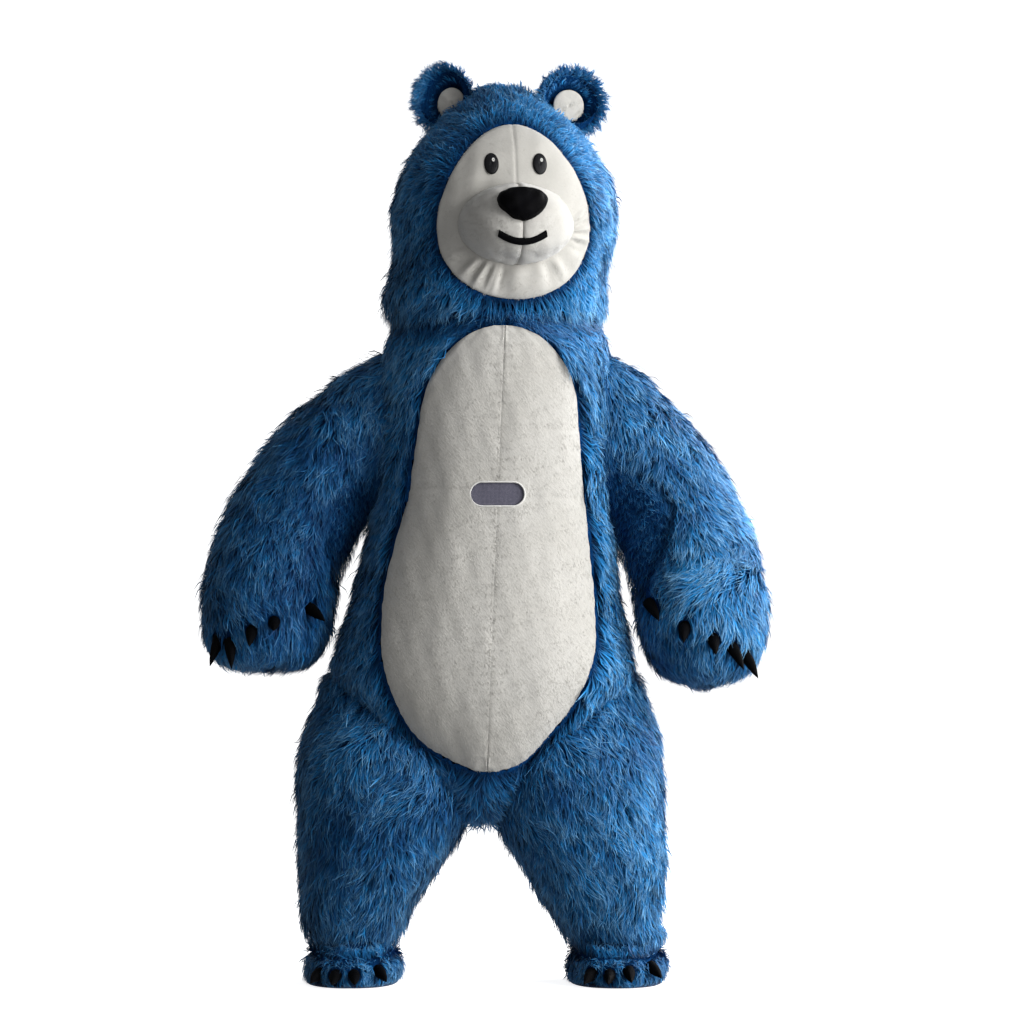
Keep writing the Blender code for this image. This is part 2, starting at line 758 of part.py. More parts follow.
def build_belly(torso):
    """Two halves of short-pile cloth, joined at the centre seam, let into the fur."""
    hole = prism(
        "cut_window",
        grown(stadium(WINDOW_HALF_WIDTH, WINDOW_HALF_HEIGHT, (WINDOW_X, WINDOW_Z)), GAP),
        along_y, -1.0, -0.10,
    )
    for side in ("left", "right"):
        outer, inner = [], []
        for edge in BELLY:
            if side == "left":
                xs = np.linspace(edge.left, seam_x(edge.z) - HALF_SEAM, BELLY_COLUMNS)
            else:
                xs = np.linspace(seam_x(edge.z) + HALF_SEAM, edge.right, BELLY_COLUMNS)
            outer.append([torso.on_front(x, edge.z, NAP_DEPTH) for x in xs])
            inner.append([torso.on_front(x, edge.z, NAP_DEPTH + NAP) for x in xs])
        half = strip_plate(f"belly_{side}", outer, inner, "pale_nap")
        boolean(half, hole)

    mesh_outline = stadium(WINDOW_HALF_WIDTH, WINDOW_HALF_HEIGHT, (WINDOW_X, WINDOW_Z))
    disc_plate(
        "window_mesh", mesh_outline, (1.0, 0.55),
        lambda x, z: torso.on_front(x, z, NAP_DEPTH + 0.0010),
        lambda x, z: torso.on_front(x, z, NAP_DEPTH + 0.0026),
        "window_mesh",
    )
    path = [
        torso.on_front(x, z, NAP_DEPTH - PIPING - 0.0022)
        for x, z in grown(mesh_outline, PIPING)
    ]
    ring_tube("window_piping", path, PIPING, 6, "white_piping")


def ring_tube(name, path, radius, sides, finish):
    """A closed round piping along a loop of points."""
    count = len(path)
    grid = []
    for i, point in enumerate(path):
        tangent = (path[(i + 1) % count] - path[i - 1]).normalized()
        out = Vector((0, -1, 0))
        side = tangent.cross(out).normalized()
        out = side.cross(tangent)
        grid.append(
            [
                point + radius * (math.cos(a) * side + math.sin(a) * out)
                for a in (2 * math.pi * k / sides for k in range(sides))
            ]
        )
    bm = bmesh.new()
    rings = [[bm.verts.new(p) for p in ring] for ring in grid]
    for i in range(count):
        one, two = rings[i], rings[(i + 1) % count]
        for j in range(sides):
            k = (j + 1) % sides
            bm.faces.new((one[j], one[k], two[k], two[j]))
    return add_object(name, bm, finish)


def build_zip(torso):
    heights = [*np.linspace(ZIP_BOTTOM, ZIP_TOP, 10), TAPE_TOP]
    tape_depth = FUR - BACKING
    for side, sign in (("left", -1), ("right", 1)):
        outer, inner = [], []
        for z in heights:
            xs = [seam_x(z) + sign * HALF_SEAM, seam_x(z) + sign * TAPE_HALF_WIDTH]
            outer.append([torso.on_back(x, z, tape_depth) for x in xs])
            inner.append([torso.on_back(x, z, tape_depth + TAPE) for x in xs])
        strip_plate(f"zip_tape_{side}", outer, inner, "zip_tape")
    outer, inner = [], []
    for z in heights[:-1]:
        xs = [seam_x(z) - COIL_HALF_WIDTH, seam_x(z), seam_x(z) + COIL_HALF_WIDTH]
        outer.append([torso.on_back(x, z, tape_depth - GAP - COIL) for x in xs])
        inner.append([torso.on_back(x, z, tape_depth - GAP) for x in xs])
    strip_plate("zip_coil", outer, inner, "zip_metal")
    build_slider(torso, tape_depth)


def box_bmesh(bm, low, high, frame):
    made = bmesh.ops.create_cube(bm, size=1.0)["verts"]
    size = Vector(high) - Vector(low)
    middle = (Vector(high) + Vector(low)) / 2
    local = Matrix.Translation(middle) @ Matrix.Diagonal((*size, 1))
    bmesh.ops.transform(bm, verts=made, matrix=frame @ local)


def slider_frame(torso, tape_depth):
    """Across, along the zip and out of the back, where the closed slider stands."""
    z = ZIP_TOP - SLIDER_BELOW_TOP
    higher = z + SLIDER_LENGTH
    here = torso.on_back(seam_x(z), z, tape_depth)
    above = torso.on_back(seam_x(higher), higher, tape_depth)
    up = (above - here).normalized()
    across = Vector((1, 0, 0))
    out = across.cross(up).normalized()
    if out.y < 0:
        out = -out
    across = up.cross(out).normalized()
    up = out.cross(across).normalized()
    frame = Matrix((across, up, out)).transposed().to_4x4()
    frame.translation = here
    return frame


def rod(name, radius, low, high, frame, sides=12):
    """A cylinder across the zip, as a cutter or a part of a union."""
    bm = bmesh.new()
    rings = []
    for x in (low, high):
        rings.append(
            [
                bm.verts.new(frame @ Vector((x, radius * math.cos(a), radius * math.sin(a))))
                for a in (2 * math.pi * k / sides for k in range(sides))
            ]
        )
    for j in range(sides):
        k = (j + 1) % sides
        bm.faces.new((rings[0][j], rings[0][k], rings[1][k], rings[1][j]))
    bm.faces.new(rings[0])
    bm.faces.new(rings[1])
    return add_object(name, bm)


def one_box(name, low, high, frame, finish=None):
    bm = bmesh.new()
    box_bmesh(bm, low, high, frame)
    return add_object(name, bm, finish)


def build_slider(torso, tape_depth):
    """The closed slider with its bridge, and the pull tab that swings on the bridge's bar."""
    frame = slider_frame(torso, tape_depth)
    half = SLIDER_LENGTH / 2
    groove = COIL_HALF_WIDTH + GROOVE_ROOM
    coil_top = COIL + GAP + GROOVE_ROOM
    plate_top = coil_top + SLIDER_PLATE
    bar_height = plate_top + BAR_ABOVE_PLATE
    slider = one_box(
        "zip_slider", (-SLIDER_HALF_WIDTH, -half, SLIDER_FLOAT), (SLIDER_HALF_WIDTH, half, plate_top),
        frame, "zip_metal",
    )
    low, high = (-groove, -half - PAST, -PAST), (groove, half + PAST, coil_top)
    boolean(slider, one_box("cut_groove", low, high, frame))
    for label, x in zip(("left", "right"), POST_LEFT_EDGES):
        low = (x, -POST_HALF_LENGTH, plate_top - PAST)
        high = (x + POST_WIDTH, POST_HALF_LENGTH, bar_height + POST_HALF_LENGTH)
        boolean(slider, one_box(f"cut_post_{label}", low, high, frame), "UNION")
    bar_frame = frame @ Matrix.Translation((0, 0, bar_height))
    bar = rod("cut_bar", BAR_RADIUS, -BAR_HALF_LENGTH, BAR_HALF_LENGTH, bar_frame)
    boolean(slider, bar, "UNION")
    applied(slider)

    neck_low = (-EYE_HALF_WIDTH, -NECK_LENGTH, -NECK_HALF_THICKNESS)
    neck_high = (EYE_HALF_WIDTH, BAR_RADIUS - EYE_RADIUS, NECK_HALF_THICKNESS)
    tab = one_box("zip_pull", neck_low, neck_high, bar_frame, "zip_metal")
    boolean(tab, rod("cut_eye", EYE_RADIUS, -EYE_HALF_WIDTH, EYE_HALF_WIDTH, bar_frame, 16), "UNION")
    grip_low = (-GRIP_HALF_WIDTH, -TAB_LENGTH, -GRIP_HALF_THICKNESS)
    grip_high = (GRIP_HALF_WIDTH, PAST - NECK_LENGTH, GRIP_HALF_THICKNESS)
    boolean(tab, one_box("cut_grip", grip_low, grip_high, bar_frame), "UNION")
    hole = rod("cut_eye_hole", BAR_RADIUS + EYE_ROOM, -2 * EYE_HALF_WIDTH, 2 * EYE_HALF_WIDTH, bar_frame)
    boolean(tab, hole)
    applied(tab)


def build_legs(forms, cuts):
    for side in ("left", "right"):
        wall = forms[f"leg_{side}"].cutter(0, "wall")
        cut_to_mesh(wall, [cuts[f"leg_{side}_inside"], cuts["torso_outside"], cuts["side"]])
        split_pieces(wall, lambda m, s=side: f"leg_{'front' if m.y < 0 else 'back'}_{s}", "blue_fur")


def build_arms(forms, cuts):
    for side, rows in (("left", ARM_LEFT), ("right", ARM_RIGHT)):
        wall = forms[f"arm_{side}"].cutter(0, "wall")
        here, after = Vector(rows[ELBOW_STATION][:3]), Vector(rows[ELBOW_STATION + 1][:3])
        middle = (here + after) / 2
        along = (after - here).normalized()
        turn = along.to_track_quat("Z", "Y").to_matrix().to_4x4()
        slab = one_box(
            f"cut_elbow_{side}", (-0.4, -0.4, -HALF_SEAM), (0.4, 0.4, HALF_SEAM),
            Matrix.Translation(middle) @ turn,
        )
        cut_to_mesh(wall, [cuts[f"arm_{side}_inside"], cuts["torso_outside"], slab])
        split_pieces(
            wall,
            lambda m, s=side, e=middle: f"{'upper_arm' if m.z > e.z else 'forearm'}_{s}",
            "blue_fur",
        )


def build_feet(forms):
    for side, rows in (("left", FOOT_LEFT), ("right", FOOT_RIGHT)):
        form = forms[f"foot_{side}"]
        upper = form.cutter(0, "wall")
        cut_to_mesh(upper, [form.cutter(FUR, "inside", past_low=(0, 0, -0.05), past_high=(0, 0, 0.05))])
        split_pieces(upper, lambda m, s=side: f"foot_{s}", "blue_fur")
        outline = level_ring(rows[0], LIMB_SEGMENTS)[:, :2]
        bm = bmesh.new()
        rings = [[bm.verts.new((x, y, z)) for x, y in outline] for z in (0.0, SOLE)]
        for j in range(len(outline)):
            k = (j + 1) % len(outline)
            bm.faces.new((rings[0][j], rings[0][k], rings[1][k], rings[1][j]))
        bm.faces.new(rings[0])
        bm.faces.new(rings[1])
        add_object(f"sole_{side}", bm, "sole_cloth")


def face_outline(count=FACE_POINTS):
    """An egg, wider at the cheeks than at the brow."""
    angle = np.arange(count) * 2 * math.pi / count
    u = FACE_HALF_WIDTH * np.cos(angle) * (1 - 0.20 * np.sin(angle))
    return np.stack([u, FACE_HALF_HEIGHT * np.sin(angle)], axis=1)


def muzzle_outline(count=FACE_POINTS, share=1.0):
    return ellipse(MUZZLE_HALF_WIDTH * share, MUZZLE_HALF_HEIGHT * share, count, (0, MUZZLE_W))


def on_face(head, u, w, depth):
    out = face_out()
    return cast(head.tree(depth), face_space(u, w, 0) + 2 * out, -out)


def gather(angle, share):
    """How far the cheek and chin gathers lift the cloth, fading towards the panel's rim and brow."""
    if math.sin(angle) > -0.15:
        return 0.0
    wave = 0.5 + 0.5 * math.cos(GATHERS * angle)
    return GATHER_HEIGHT * math.sqrt(-math.sin(angle)) * share * wave


def build_face(head):
    """The pale panel from the muzzle's edge out to the fur, gathered at cheeks and chin."""
    rim = face_outline()
    inner = muzzle_outline()
    bm = bmesh.new()
    shares = (0.0, 0.5, 1.0)
    lift = (0.7, 1.0, 0.0)
    sides = []
    for depth, moves in ((NAP_DEPTH, True), (NAP_DEPTH + NAP, False)):
        rings = []
        for share, height in zip(shares, lift):
            flat = inner + (rim - inner) * share
            ring = []
            for j, (u, w) in enumerate(flat):
                point = on_face(head, u, w, depth)
                if moves:
                    point = point + face_out() * gather(2 * math.pi * j / FACE_POINTS, height)
                ring.append(bm.verts.new(point))
            rings.append(ring)
        for one, two in zip(rings, rings[1:]):
            for j in range(FACE_POINTS):
                k = (j + 1) % FACE_POINTS
                bm.faces.new((one[j], one[k], two[k], two[j]))
        sides.append(rings)
    for end in (0, -1):
        one, two = sides[0][end], sides[1][end]
        for j in range(FACE_POINTS):
            k = (j + 1) % FACE_POINTS
            bm.faces.new((one[j], one[k], two[k], two[j]))
    add_object("face_panel", bm, "pale_nap")


def muzzle_grid(head, depth, count=MUZZLE_POINTS):
    """Rings from the muzzle's root out to its front, moved in by a depth."""
    base = muzzle_outline(count, 1.0 - (GAP + depth) / MUZZLE_HALF_HEIGHT)
    middle = np.array([0, MUZZLE_W])
    out = face_out()
    roots = []
    for u, w in base:
        point = on_face(head, u, w, NAP_DEPTH + NAP)
        roots.append((point - face_space(0, 0, 0)).dot(out))
    grid = []
    inner_power, outer_power = MUZZLE_ROUNDNESS
    for share in MUZZLE_SHARES:
        rise = (1 - share**inner_power) ** (1 / outer_power)
        ring = []
        for (u, w), root in zip(base, roots):
            flat = middle + (np.array([u, w]) - middle) * share
            d = root + (MUZZLE_FRONT - depth - root) * rise
            ring.append(face_space(flat[0], flat[1], d))
        grid.append(ring)
    tip = face_space(0, MUZZLE_W, MUZZLE_FRONT - depth)
    return np.array(grid), tip


def muzzle_solid(head, depth, label, past=0.0):
    """The whole solid inside the muzzle's surface at this depth, run on past its root."""
    grid, tip = muzzle_grid(head, depth)
    if past:
        grid = np.concatenate([grid[:1] - past * np.array(face_out()), grid])
    return add_object(f"cut_muzzle_{label}", closed_tube(grid, high_tip=tip))


def face_slab(name, half_height, near, far):
    """A thin cut up the middle of the face."""
    outline = [
        (-HALF_SEAM, -half_height), (HALF_SEAM, -half_height),
        (HALF_SEAM, half_height), (-HALF_SEAM, half_height),
    ]
    return prism(name, outline, face_space, near, far)


def build_muzzle(head):
    """Two hollow halves that meet at a centre seam."""
    wall = muzzle_solid(head, 0.0, "wall")
    seam = face_slab("cut_muzzle_seam", 0.4, 0.1, 0.9)
    cut_to_mesh(wall, [muzzle_solid(head, MUZZLE_WALL, "inside", past=0.08), seam])
    middle_x = face_space(0, 0, MUZZLE_FRONT).x
    split_pieces(wall, lambda m: f"muzzle_{'left' if m.x < middle_x else 'right'}", "pale_nap")


def build_features(head):
    """Nose, mouth and eyes, each seated on the cloth under it."""
    skin = muzzle_solid(head, -GAP, "skin", past=0.08)
    nose_w = MUZZLE_W + NOSE_ABOVE_MUZZLE
    outline = ellipse(NOSE_HALF_WIDTH, NOSE_HALF_HEIGHT, 14)
    outline[:, 0] *= 1 + NOSE_SPREAD * outline[:, 1] / NOSE_HALF_HEIGHT
    grid = []
    for share, d in NOSE_PROFILE:
        grid.append([face_space(u * share, nose_w + w * share, d) for u, w in outline])
    body = closed_tube(np.array(grid), high_tip=face_space(0, nose_w, NOSE_TIP))
    nose = add_object("nose", body, "black_plush")
    boolean(nose, skin)

    shell = muzzle_solid(head, -GAP - MOUTH_THICKNESS, "mouth_skin", past=0.08)
    lower_w = MUZZLE_W - MOUTH_BELOW_MUZZLE
    t = np.linspace(-1, 1, MOUTH_STEPS + 1)
    lower = np.stack([MOUTH_HALF_WIDTH * t, lower_w + MOUTH_CURVE * t**2], axis=1)
    upper = np.stack([0.95 * MOUTH_HALF_WIDTH * t, lower_w + MOUTH_HEIGHT + MOUTH_CURVE * t**2], axis=1)
    mouth = [*lower, *upper[::-1]]
    band = prism("mouth", mouth, face_space, 0.30, 0.80)
    boolean(band, skin)
    boolean(band, shell, "INTERSECT")
    band.hide_render = False
    band.display_type = "TEXTURED"
    band.data.materials.append(material("black_plush"))

    for side, sign in (("left", -1), ("right", 1)):
        middle = (sign * EYE_ASIDE, EYE_ABOVE)
        disc_plate(
            f"eye_{side}", ellipse(*EYE_HALF_SIZE, 14, middle), (1.0,),
            lambda u, w: on_face(head, u, w, NAP_DEPTH - EYE_FRONT),
            lambda u, w: on_face(head, u, w, NAP_DEPTH - EYE_BACK),
            "black_plush",
        )


def build_head(forms, cuts):
    head = forms["head"]
    wall = head.cutter(0, "wall")
    opening = prism("cut_face", grown(face_outline(), GAP), face_space, 0.08, 1.0)
    seam = face_slab("cut_head_seam", 0.6, -1.0, 1.0)
    cut_to_mesh(wall, [head.cutter(FUR, "inside", past_low=(0, 0, -0.06)), opening, seam])
    split_pieces(wall, lambda m: f"head_{'left' if m.x < HEAD_X else 'right'}", "blue_fur")
    skin = head.cutter(-GAP, "skin")
    build_face(head)
    build_muzzle(head)
    build_features(head)
    for side, ear in EARS.items():
        build_ear(side, ear, skin)


def build_ear(side, ear, head_skin):
    """A stuffed fur ear, dished in front, with a pale piece in the dish."""
    turn = Matrix.Rotation(ear.turn, 4, "Z")
    place = Matrix.Translation((ear.x, EAR_Y, ear.z)) @ turn

    def at(u, w, d):
        return place @ Vector((u, d, w))

    outline = ellipse(ear.half_width, ear.half_height, 16)
    floor, floor_share = EAR_PROFILE[0]
    dish = np.array(EAR_DISH[side])
    grid = []
    for d, share in EAR_PROFILE:
        shift = dish * (1 - share) / (1 - floor_share) if d < 0 else 0 * dish
        grid.append([at(*(shift + share * point), d) for point in outline])
    body = closed_tube(np.array(grid), low_tip=at(*dish, floor), high_tip=at(0, 0, EAR_BACK))
    boolean(add_object(f"ear_{side}", body, "blue_fur"), head_skin)
    pale = dish + EAR_PALE * outline
    inner = disc_plate(
        f"ear_inner_{side}", pale, (1.0,),
        lambda u, w: at(u, w, floor - GAP - NAP),
        lambda u, w: at(u, w, floor - GAP),
        "pale_nap",
    )
    boolean(inner, head_skin)


def build_claws(forms):
    for limb, table in (("arm", HAND_CLAWS), ("foot", FOOT_CLAWS)):
        for side, claws in table.items():
            form = forms[f"{limb}_{side}"]
            past_sole = (0, 0, -0.05) if limb == "foot" else None
            skin = form.cutter(-GAP, "skin", past_low=past_sole)
            label = "hand" if limb == "arm" else "foot"
            for i, claw in enumerate(claws):
                build_claw(f"claw_{label}_{side}_{i + 1}", form, claw, skin)


def build_claw(name, form, claw, skin):
    """A stuffed claw that tapers and droops, from its root in the pile out to its tip."""
    near = Vector((claw.x, -1.0, claw.z))
    hit = form.tree(0).ray_cast(near, Vector((0, 1, 0)))[0]
    if hit is None:
        hit = form.tree(0).find_nearest(Vector((claw.x, -0.15, claw.z)))[0]
    aim = Vector(claw.aim).normalized()
    side = aim.cross(Vector((0, 0, 1))).normalized()
    up = side.cross(aim).normalized()
    section = ellipse(CLAW_FLATNESS, 1.0, 6)
    steps = 4
    grid = []
    for t in np.arange(steps) / steps:
        reach = t * (CLAW_ROOT + CLAW_OUT) - CLAW_ROOT
        centre = hit + aim * reach - Vector((0, 0, CLAW_DROOP * t * t))
        radius = CLAW_RADIUS * (1 - t**CLAW_TAPER)
        grid.append([centre + (side * across + up * rise) * radius for across, rise in section])
    tip = hit + aim * CLAW_OUT - Vector((0, 0, CLAW_DROOP))
    obj = add_object(name, closed_tube(np.array(grid), high_tip=tip), "black_plush")
    boolean(obj, skin)


def stand_on_origin():
    """The whole figure hangs on one empty, so that its box is centred over the origin."""
    figure = bpy.data.objects.new("figure", None)
    bpy.context.scene.collection.objects.link(figure)
    for obj in bpy.data.objects:
        if obj is not figure:
            obj.parent = figure
    figure.location = (FIGURE_X, FIGURE_Y, 0)


def main():
    clear_scene()
    forms = build_forms()
    cuts = {"torso_outside": forms["torso"].cutter(-GAP, "outside"), "side": side_slab("cut_side")}
    for side in ("left", "right"):
        cuts[f"arm_{side}_inside"] = forms[f"arm_{side}"].cutter(FUR, "inside")
        cuts[f"leg_{side}_inside"] = forms[f"leg_{side}"].cutter(FUR, "inside", past_low=(0, 0, -0.05))
    build_torso(forms, cuts)
    build_belly(forms["torso"])
    build_zip(forms["torso"])
    build_legs(forms, cuts)
    build_arms(forms, cuts)
    build_feet(forms)
    build_head(forms, cuts)
    build_claws(forms)
    stand_on_origin()


main()
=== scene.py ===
"""Looks of the blue bear mascot costume: long plush, short-pile belly and face, claws, zip.

The tables and the section formulas are those of the part's source, in metres, so every
cloth here lies on its own solid. Fur is grown as joined meshes of tapering locks.
"""

import math

import bmesh
import bpy
import numpy as np
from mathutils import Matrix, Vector
from mathutils.bvhtree import BVHTree


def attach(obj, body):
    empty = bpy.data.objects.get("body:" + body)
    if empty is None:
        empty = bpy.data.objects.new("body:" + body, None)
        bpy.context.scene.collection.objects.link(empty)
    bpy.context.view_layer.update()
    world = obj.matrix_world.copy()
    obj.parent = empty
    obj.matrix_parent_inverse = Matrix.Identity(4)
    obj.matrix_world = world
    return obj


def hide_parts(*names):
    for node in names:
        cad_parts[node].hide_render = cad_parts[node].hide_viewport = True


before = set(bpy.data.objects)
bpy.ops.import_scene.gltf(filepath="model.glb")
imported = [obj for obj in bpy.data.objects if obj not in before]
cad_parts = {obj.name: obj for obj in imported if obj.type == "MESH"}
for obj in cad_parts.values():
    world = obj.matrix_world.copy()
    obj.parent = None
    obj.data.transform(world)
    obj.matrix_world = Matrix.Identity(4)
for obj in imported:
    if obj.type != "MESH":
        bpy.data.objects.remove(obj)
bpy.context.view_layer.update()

# The tables' origin in the part's own frame
SHIFT = np.array((-0.001, 0.063, 0.0))

# How far out of the middle a point counts as on the front or back of the torso, or on the face
TORSO_FACES = 0.1
FACE_STARTS = 0.05

# Cloth
BACKING_DEPTH = 0.024
BACKING_THICKNESS = 0.003
BACKING_CELL = 0.024
NAP_DEPTH = 0.019
PANEL_TUCK = 0.022
NAP = 0.004
NECK_Z = 2.190
ANKLE_Z = 0.140
SOLE = 0.010
BELLY_TOP = 2.132
BELLY_BOTTOM = 0.700
SEAM_X_AT_TOP = 0.068
SEAM_X_AT_BOTTOM = 0.010
SQUARENESS = 2.3

# Head and face
HEAD_X = 0.063
HEAD_Z = 2.500
HEAD_TURN = math.radians(7)
HEAD_FRONT = 0.34
FACE_HALF_WIDTH = 0.245
FACE_HALF_HEIGHT = 0.285
FACE_TAPER = 0.20
FACE_AREA = 0.115
MUZZLE_HALF_WIDTH = 0.185
MUZZLE_HALF_HEIGHT = 0.130
MUZZLE_W = -0.045
MUZZLE_FRONT = 0.520
GATHERS = 16
GATHER_HEIGHT = 0.0165
NOSE_HALF_WIDTH = 0.078
NOSE_HALF_HEIGHT = 0.056
MOUTH_HALF_WIDTH = 0.078
MOUTH_W = MUZZLE_W - 0.072
MOUTH_CURVE = 0.026
MOUTH_HEIGHT = 0.020
EYE_U = 0.078
EYE_W = 0.150
EYE_HALF_WIDTH = 0.021
EYE_HALF_HEIGHT = 0.033

# Window in the belly
WINDOW_X = 0.044
WINDOW_Z = 1.590
WINDOW_HALF_WIDTH = 0.086
WINDOW_HALF_HEIGHT = 0.037
WINDOW_SINK = 0.003
THREAD_PITCH = 0.0042
PIPING = 0.004

# Zip down the centre of the back
ZIP_TOP = 1.930
TAPE_TOP = 1.960
ZIP_BOTTOM = 1.000
TAPE_HALF_WIDTH = 0.016
TAPE_DEPTH = 0.025
TOOTH_PITCH = 0.0042
STITCH_PITCH = 0.0048

# Sections from the crotch up to the neck: z, centre, half width, front, back
TORSO = [
    (0.530, -0.002, 0.050, 0.120, 0.120), (0.570, -0.002, 0.105, 0.220, 0.220),
    (0.640, -0.003, 0.180, 0.305, 0.300), (0.730, -0.004, 0.275, 0.375, 0.360),
    (0.820, -0.005, 0.362, 0.420, 0.400), (0.920, -0.004, 0.445, 0.448, 0.422),
    (1.000, -0.002, 0.495, 0.458, 0.432), (1.075, -0.002, 0.487, 0.462, 0.432),
    (1.190, 0.003, 0.454, 0.456, 0.420), (1.330, 0.010, 0.423, 0.436, 0.398),
    (1.490, 0.022, 0.397, 0.406, 0.370), (1.660, 0.031, 0.384, 0.382, 0.350),
    (1.830, 0.035, 0.378, 0.366, 0.341), (2.000, 0.040, 0.370, 0.354, 0.336),
    (2.130, 0.037, 0.360, 0.343, 0.333), (NECK_Z, 0.033, 0.343, 0.326, 0.324),
]
HEAD = [
    (NECK_Z + 0.0003, 0.033, 0.343, 0.326, 0.324), (2.240, 0.035, 0.352, 0.346, 0.341),
    (2.325, 0.049, 0.350, 0.355, 0.348), (2.405, 0.061, 0.357, 0.363, 0.357),
    (2.490, 0.064, 0.368, 0.368, 0.364), (2.575, 0.066, 0.358, 0.363, 0.362),
    (2.640, 0.065, 0.335, 0.347, 0.348), (2.705, 0.065, 0.299, 0.319, 0.324),
    (2.770, 0.065, 0.250, 0.275, 0.284), (2.835, 0.064, 0.188, 0.213, 0.224),
    (2.895, 0.061, 0.106, 0.125, 0.133),
]
# Legs and feet upward: z, front and back, then each side's centres and half widths
LEG = [
    (ANKLE_Z, 0.200, 0.200), (0.172, 0.222, 0.214), (0.220, 0.238, 0.228), (0.285, 0.256, 0.248),
    (0.375, 0.287, 0.279), (0.465, 0.316, 0.309), (0.550, 0.336, 0.332), (0.640, 0.346, 0.344),
    (0.740, 0.338, 0.338), (0.840, 0.304, 0.306), (0.920, 0.248, 0.252), (0.980, 0.178, 0.184),
    (1.015, 0.110, 0.115),
]
LEG_ACROSS = {
    "left": [
        (-0.428, 0.152), (-0.427, 0.166), (-0.420, 0.177), (-0.403, 0.197), (-0.373, 0.230),
        (-0.345, 0.261), (-0.325, 0.287), (-0.313, 0.301), (-0.313, 0.295), (-0.322, 0.257),
        (-0.337, 0.208), (-0.366, 0.160), (-0.390, 0.112),
    ],
    "right": [
        (0.424, 0.160), (0.420, 0.172), (0.397, 0.179), (0.380, 0.203), (0.357, 0.235),
        (0.326, 0.262), (0.304, 0.284), (0.294, 0.291), (0.292, 0.288), (0.302, 0.256),
        (0.320, 0.213), (0.352, 0.164), (0.376, 0.118),
    ],
}
FOOT = [
    (SOLE + 0.0003, 0.300, 0.195), (0.035, 0.318, 0.206), (0.070, 0.308, 0.212),
    (0.105, 0.262, 0.208), (ANKLE_Z, 0.200, 0.200),
]
FOOT_ACROSS = {
    "left": [(-0.430, 0.150), (-0.428, 0.161), (-0.426, 0.163), (-0.427, 0.157), (-0.428, 0.152)],
    "right": [(0.430, 0.152), (0.432, 0.164), (0.434, 0.165), (0.430, 0.162), (0.424, 0.160)],
}
# Stations from inside the chest down to the paw: x, y, z, half width, half depth
ARM = {
    "left": [
        (-0.175, 0.020, 1.945, 0.180, 0.150), (-0.325, 0.016, 1.835, 0.202, 0.172),
        (-0.432, 0.008, 1.738, 0.214, 0.186), (-0.528, -0.003, 1.632, 0.218, 0.197),
        (-0.604, -0.018, 1.522, 0.220, 0.206), (-0.657, -0.038, 1.412, 0.221, 0.211),
        (-0.690, -0.062, 1.300, 0.219, 0.213), (-0.705, -0.082, 1.195, 0.216, 0.211),
        (-0.708, -0.096, 1.110, 0.199, 0.195), (-0.708, -0.102, 1.058, 0.163, 0.162),
        (-0.708, -0.105, 1.030, 0.095, 0.095),
    ],
    "right": [
        (0.255, 0.020, 1.932, 0.182, 0.150), (0.362, 0.014, 1.838, 0.212, 0.176),
        (0.466, 0.006, 1.726, 0.216, 0.187), (0.548, -0.005, 1.626, 0.220, 0.198),
        (0.614, -0.020, 1.520, 0.221, 0.206), (0.663, -0.040, 1.405, 0.220, 0.210),
        (0.696, -0.064, 1.285, 0.217, 0.210), (0.713, -0.083, 1.175, 0.211, 0.207),
        (0.727, -0.096, 1.080, 0.191, 0.190), (0.738, -0.102, 1.018, 0.148, 0.150),
        (0.743, -0.105, 0.983, 0.084, 0.086),
    ],
}
ELBOW = 4.5

# Outline of the belly panel: z, left, right
BELLY = [
    (BELLY_BOTTOM, -0.010, 0.042), (0.712, -0.062, 0.092), (0.745, -0.136, 0.148),
    (0.804, -0.211, 0.201), (0.901, -0.275, 0.285), (0.998, -0.314, 0.334),
    (1.095, -0.330, 0.360), (1.192, -0.327, 0.360), (1.290, -0.318, 0.356),
    (1.387, -0.298, 0.347), (1.484, -0.275, 0.334), (1.581, -0.249, 0.323),
    (1.678, -0.233, 0.314), (1.800, -0.212, 0.306), (1.921, -0.188, 0.294),
    (1.983, -0.162, 0.275), (2.041, -0.123, 0.240), (2.095, -0.062, 0.185),
    (2.122, -0.005, 0.128), (BELLY_TOP, 0.036, 0.088),
]

# Claws: x, z and the way they point
HAND_CLAWS = {
    "left": [
        (-0.862, 1.106, (-0.30, -0.50, -0.80)),
        (-0.818, 1.098, (0.10, -0.60, -0.78)),
        (-0.748, 1.143, (-0.05, -0.92, -0.38)),
        (-0.674, 1.176, (0.02, -0.99, -0.12)),
        (-0.552, 1.216, (0.60, -0.74, -0.30)),
    ],
    "right": [
        (0.540, 1.228, (0.36, -0.82, -0.44)),
        (0.645, 1.155, (-0.06, -0.92, -0.38)),
        (0.740, 1.116, (0.06, -0.92, -0.38)),
        (0.808, 1.084, (0.40, -0.68, -0.62)),
        (0.852, 1.058, (0.46, -0.56, -0.68)),
    ],
}
FOOT_CLAWS = {
    "left": [
        (-0.536, 0.042, (-0.28, -0.95, -0.10)),
        (-0.478, 0.041, (-0.12, -0.98, -0.10)),
        (-0.416, 0.042, (0.05, -0.99, -0.10)),
        (-0.334, 0.052, (0.32, -0.93, -0.16)),
    ],
    "right": [
        (0.342, 0.042, (-0.28, -0.95, -0.10)),
        (0.404, 0.043, (-0.08, -0.98, -0.10)),
        (0.468, 0.052, (0.08, -0.98, -0.14)),
        (0.546, 0.062, (0.36, -0.91, -0.16)),
    ],
}
CLAW_OUT = 0.070
CLAW_ROOT = 0.024
CLAW_RADIUS = 0.020
CLAW_TAPER = 2.2
CLAW_DROOP = 0.016
CLAW_STATIONS = 15
CLAW_REACH = 0.09
CLAW_ROOM = 0.004

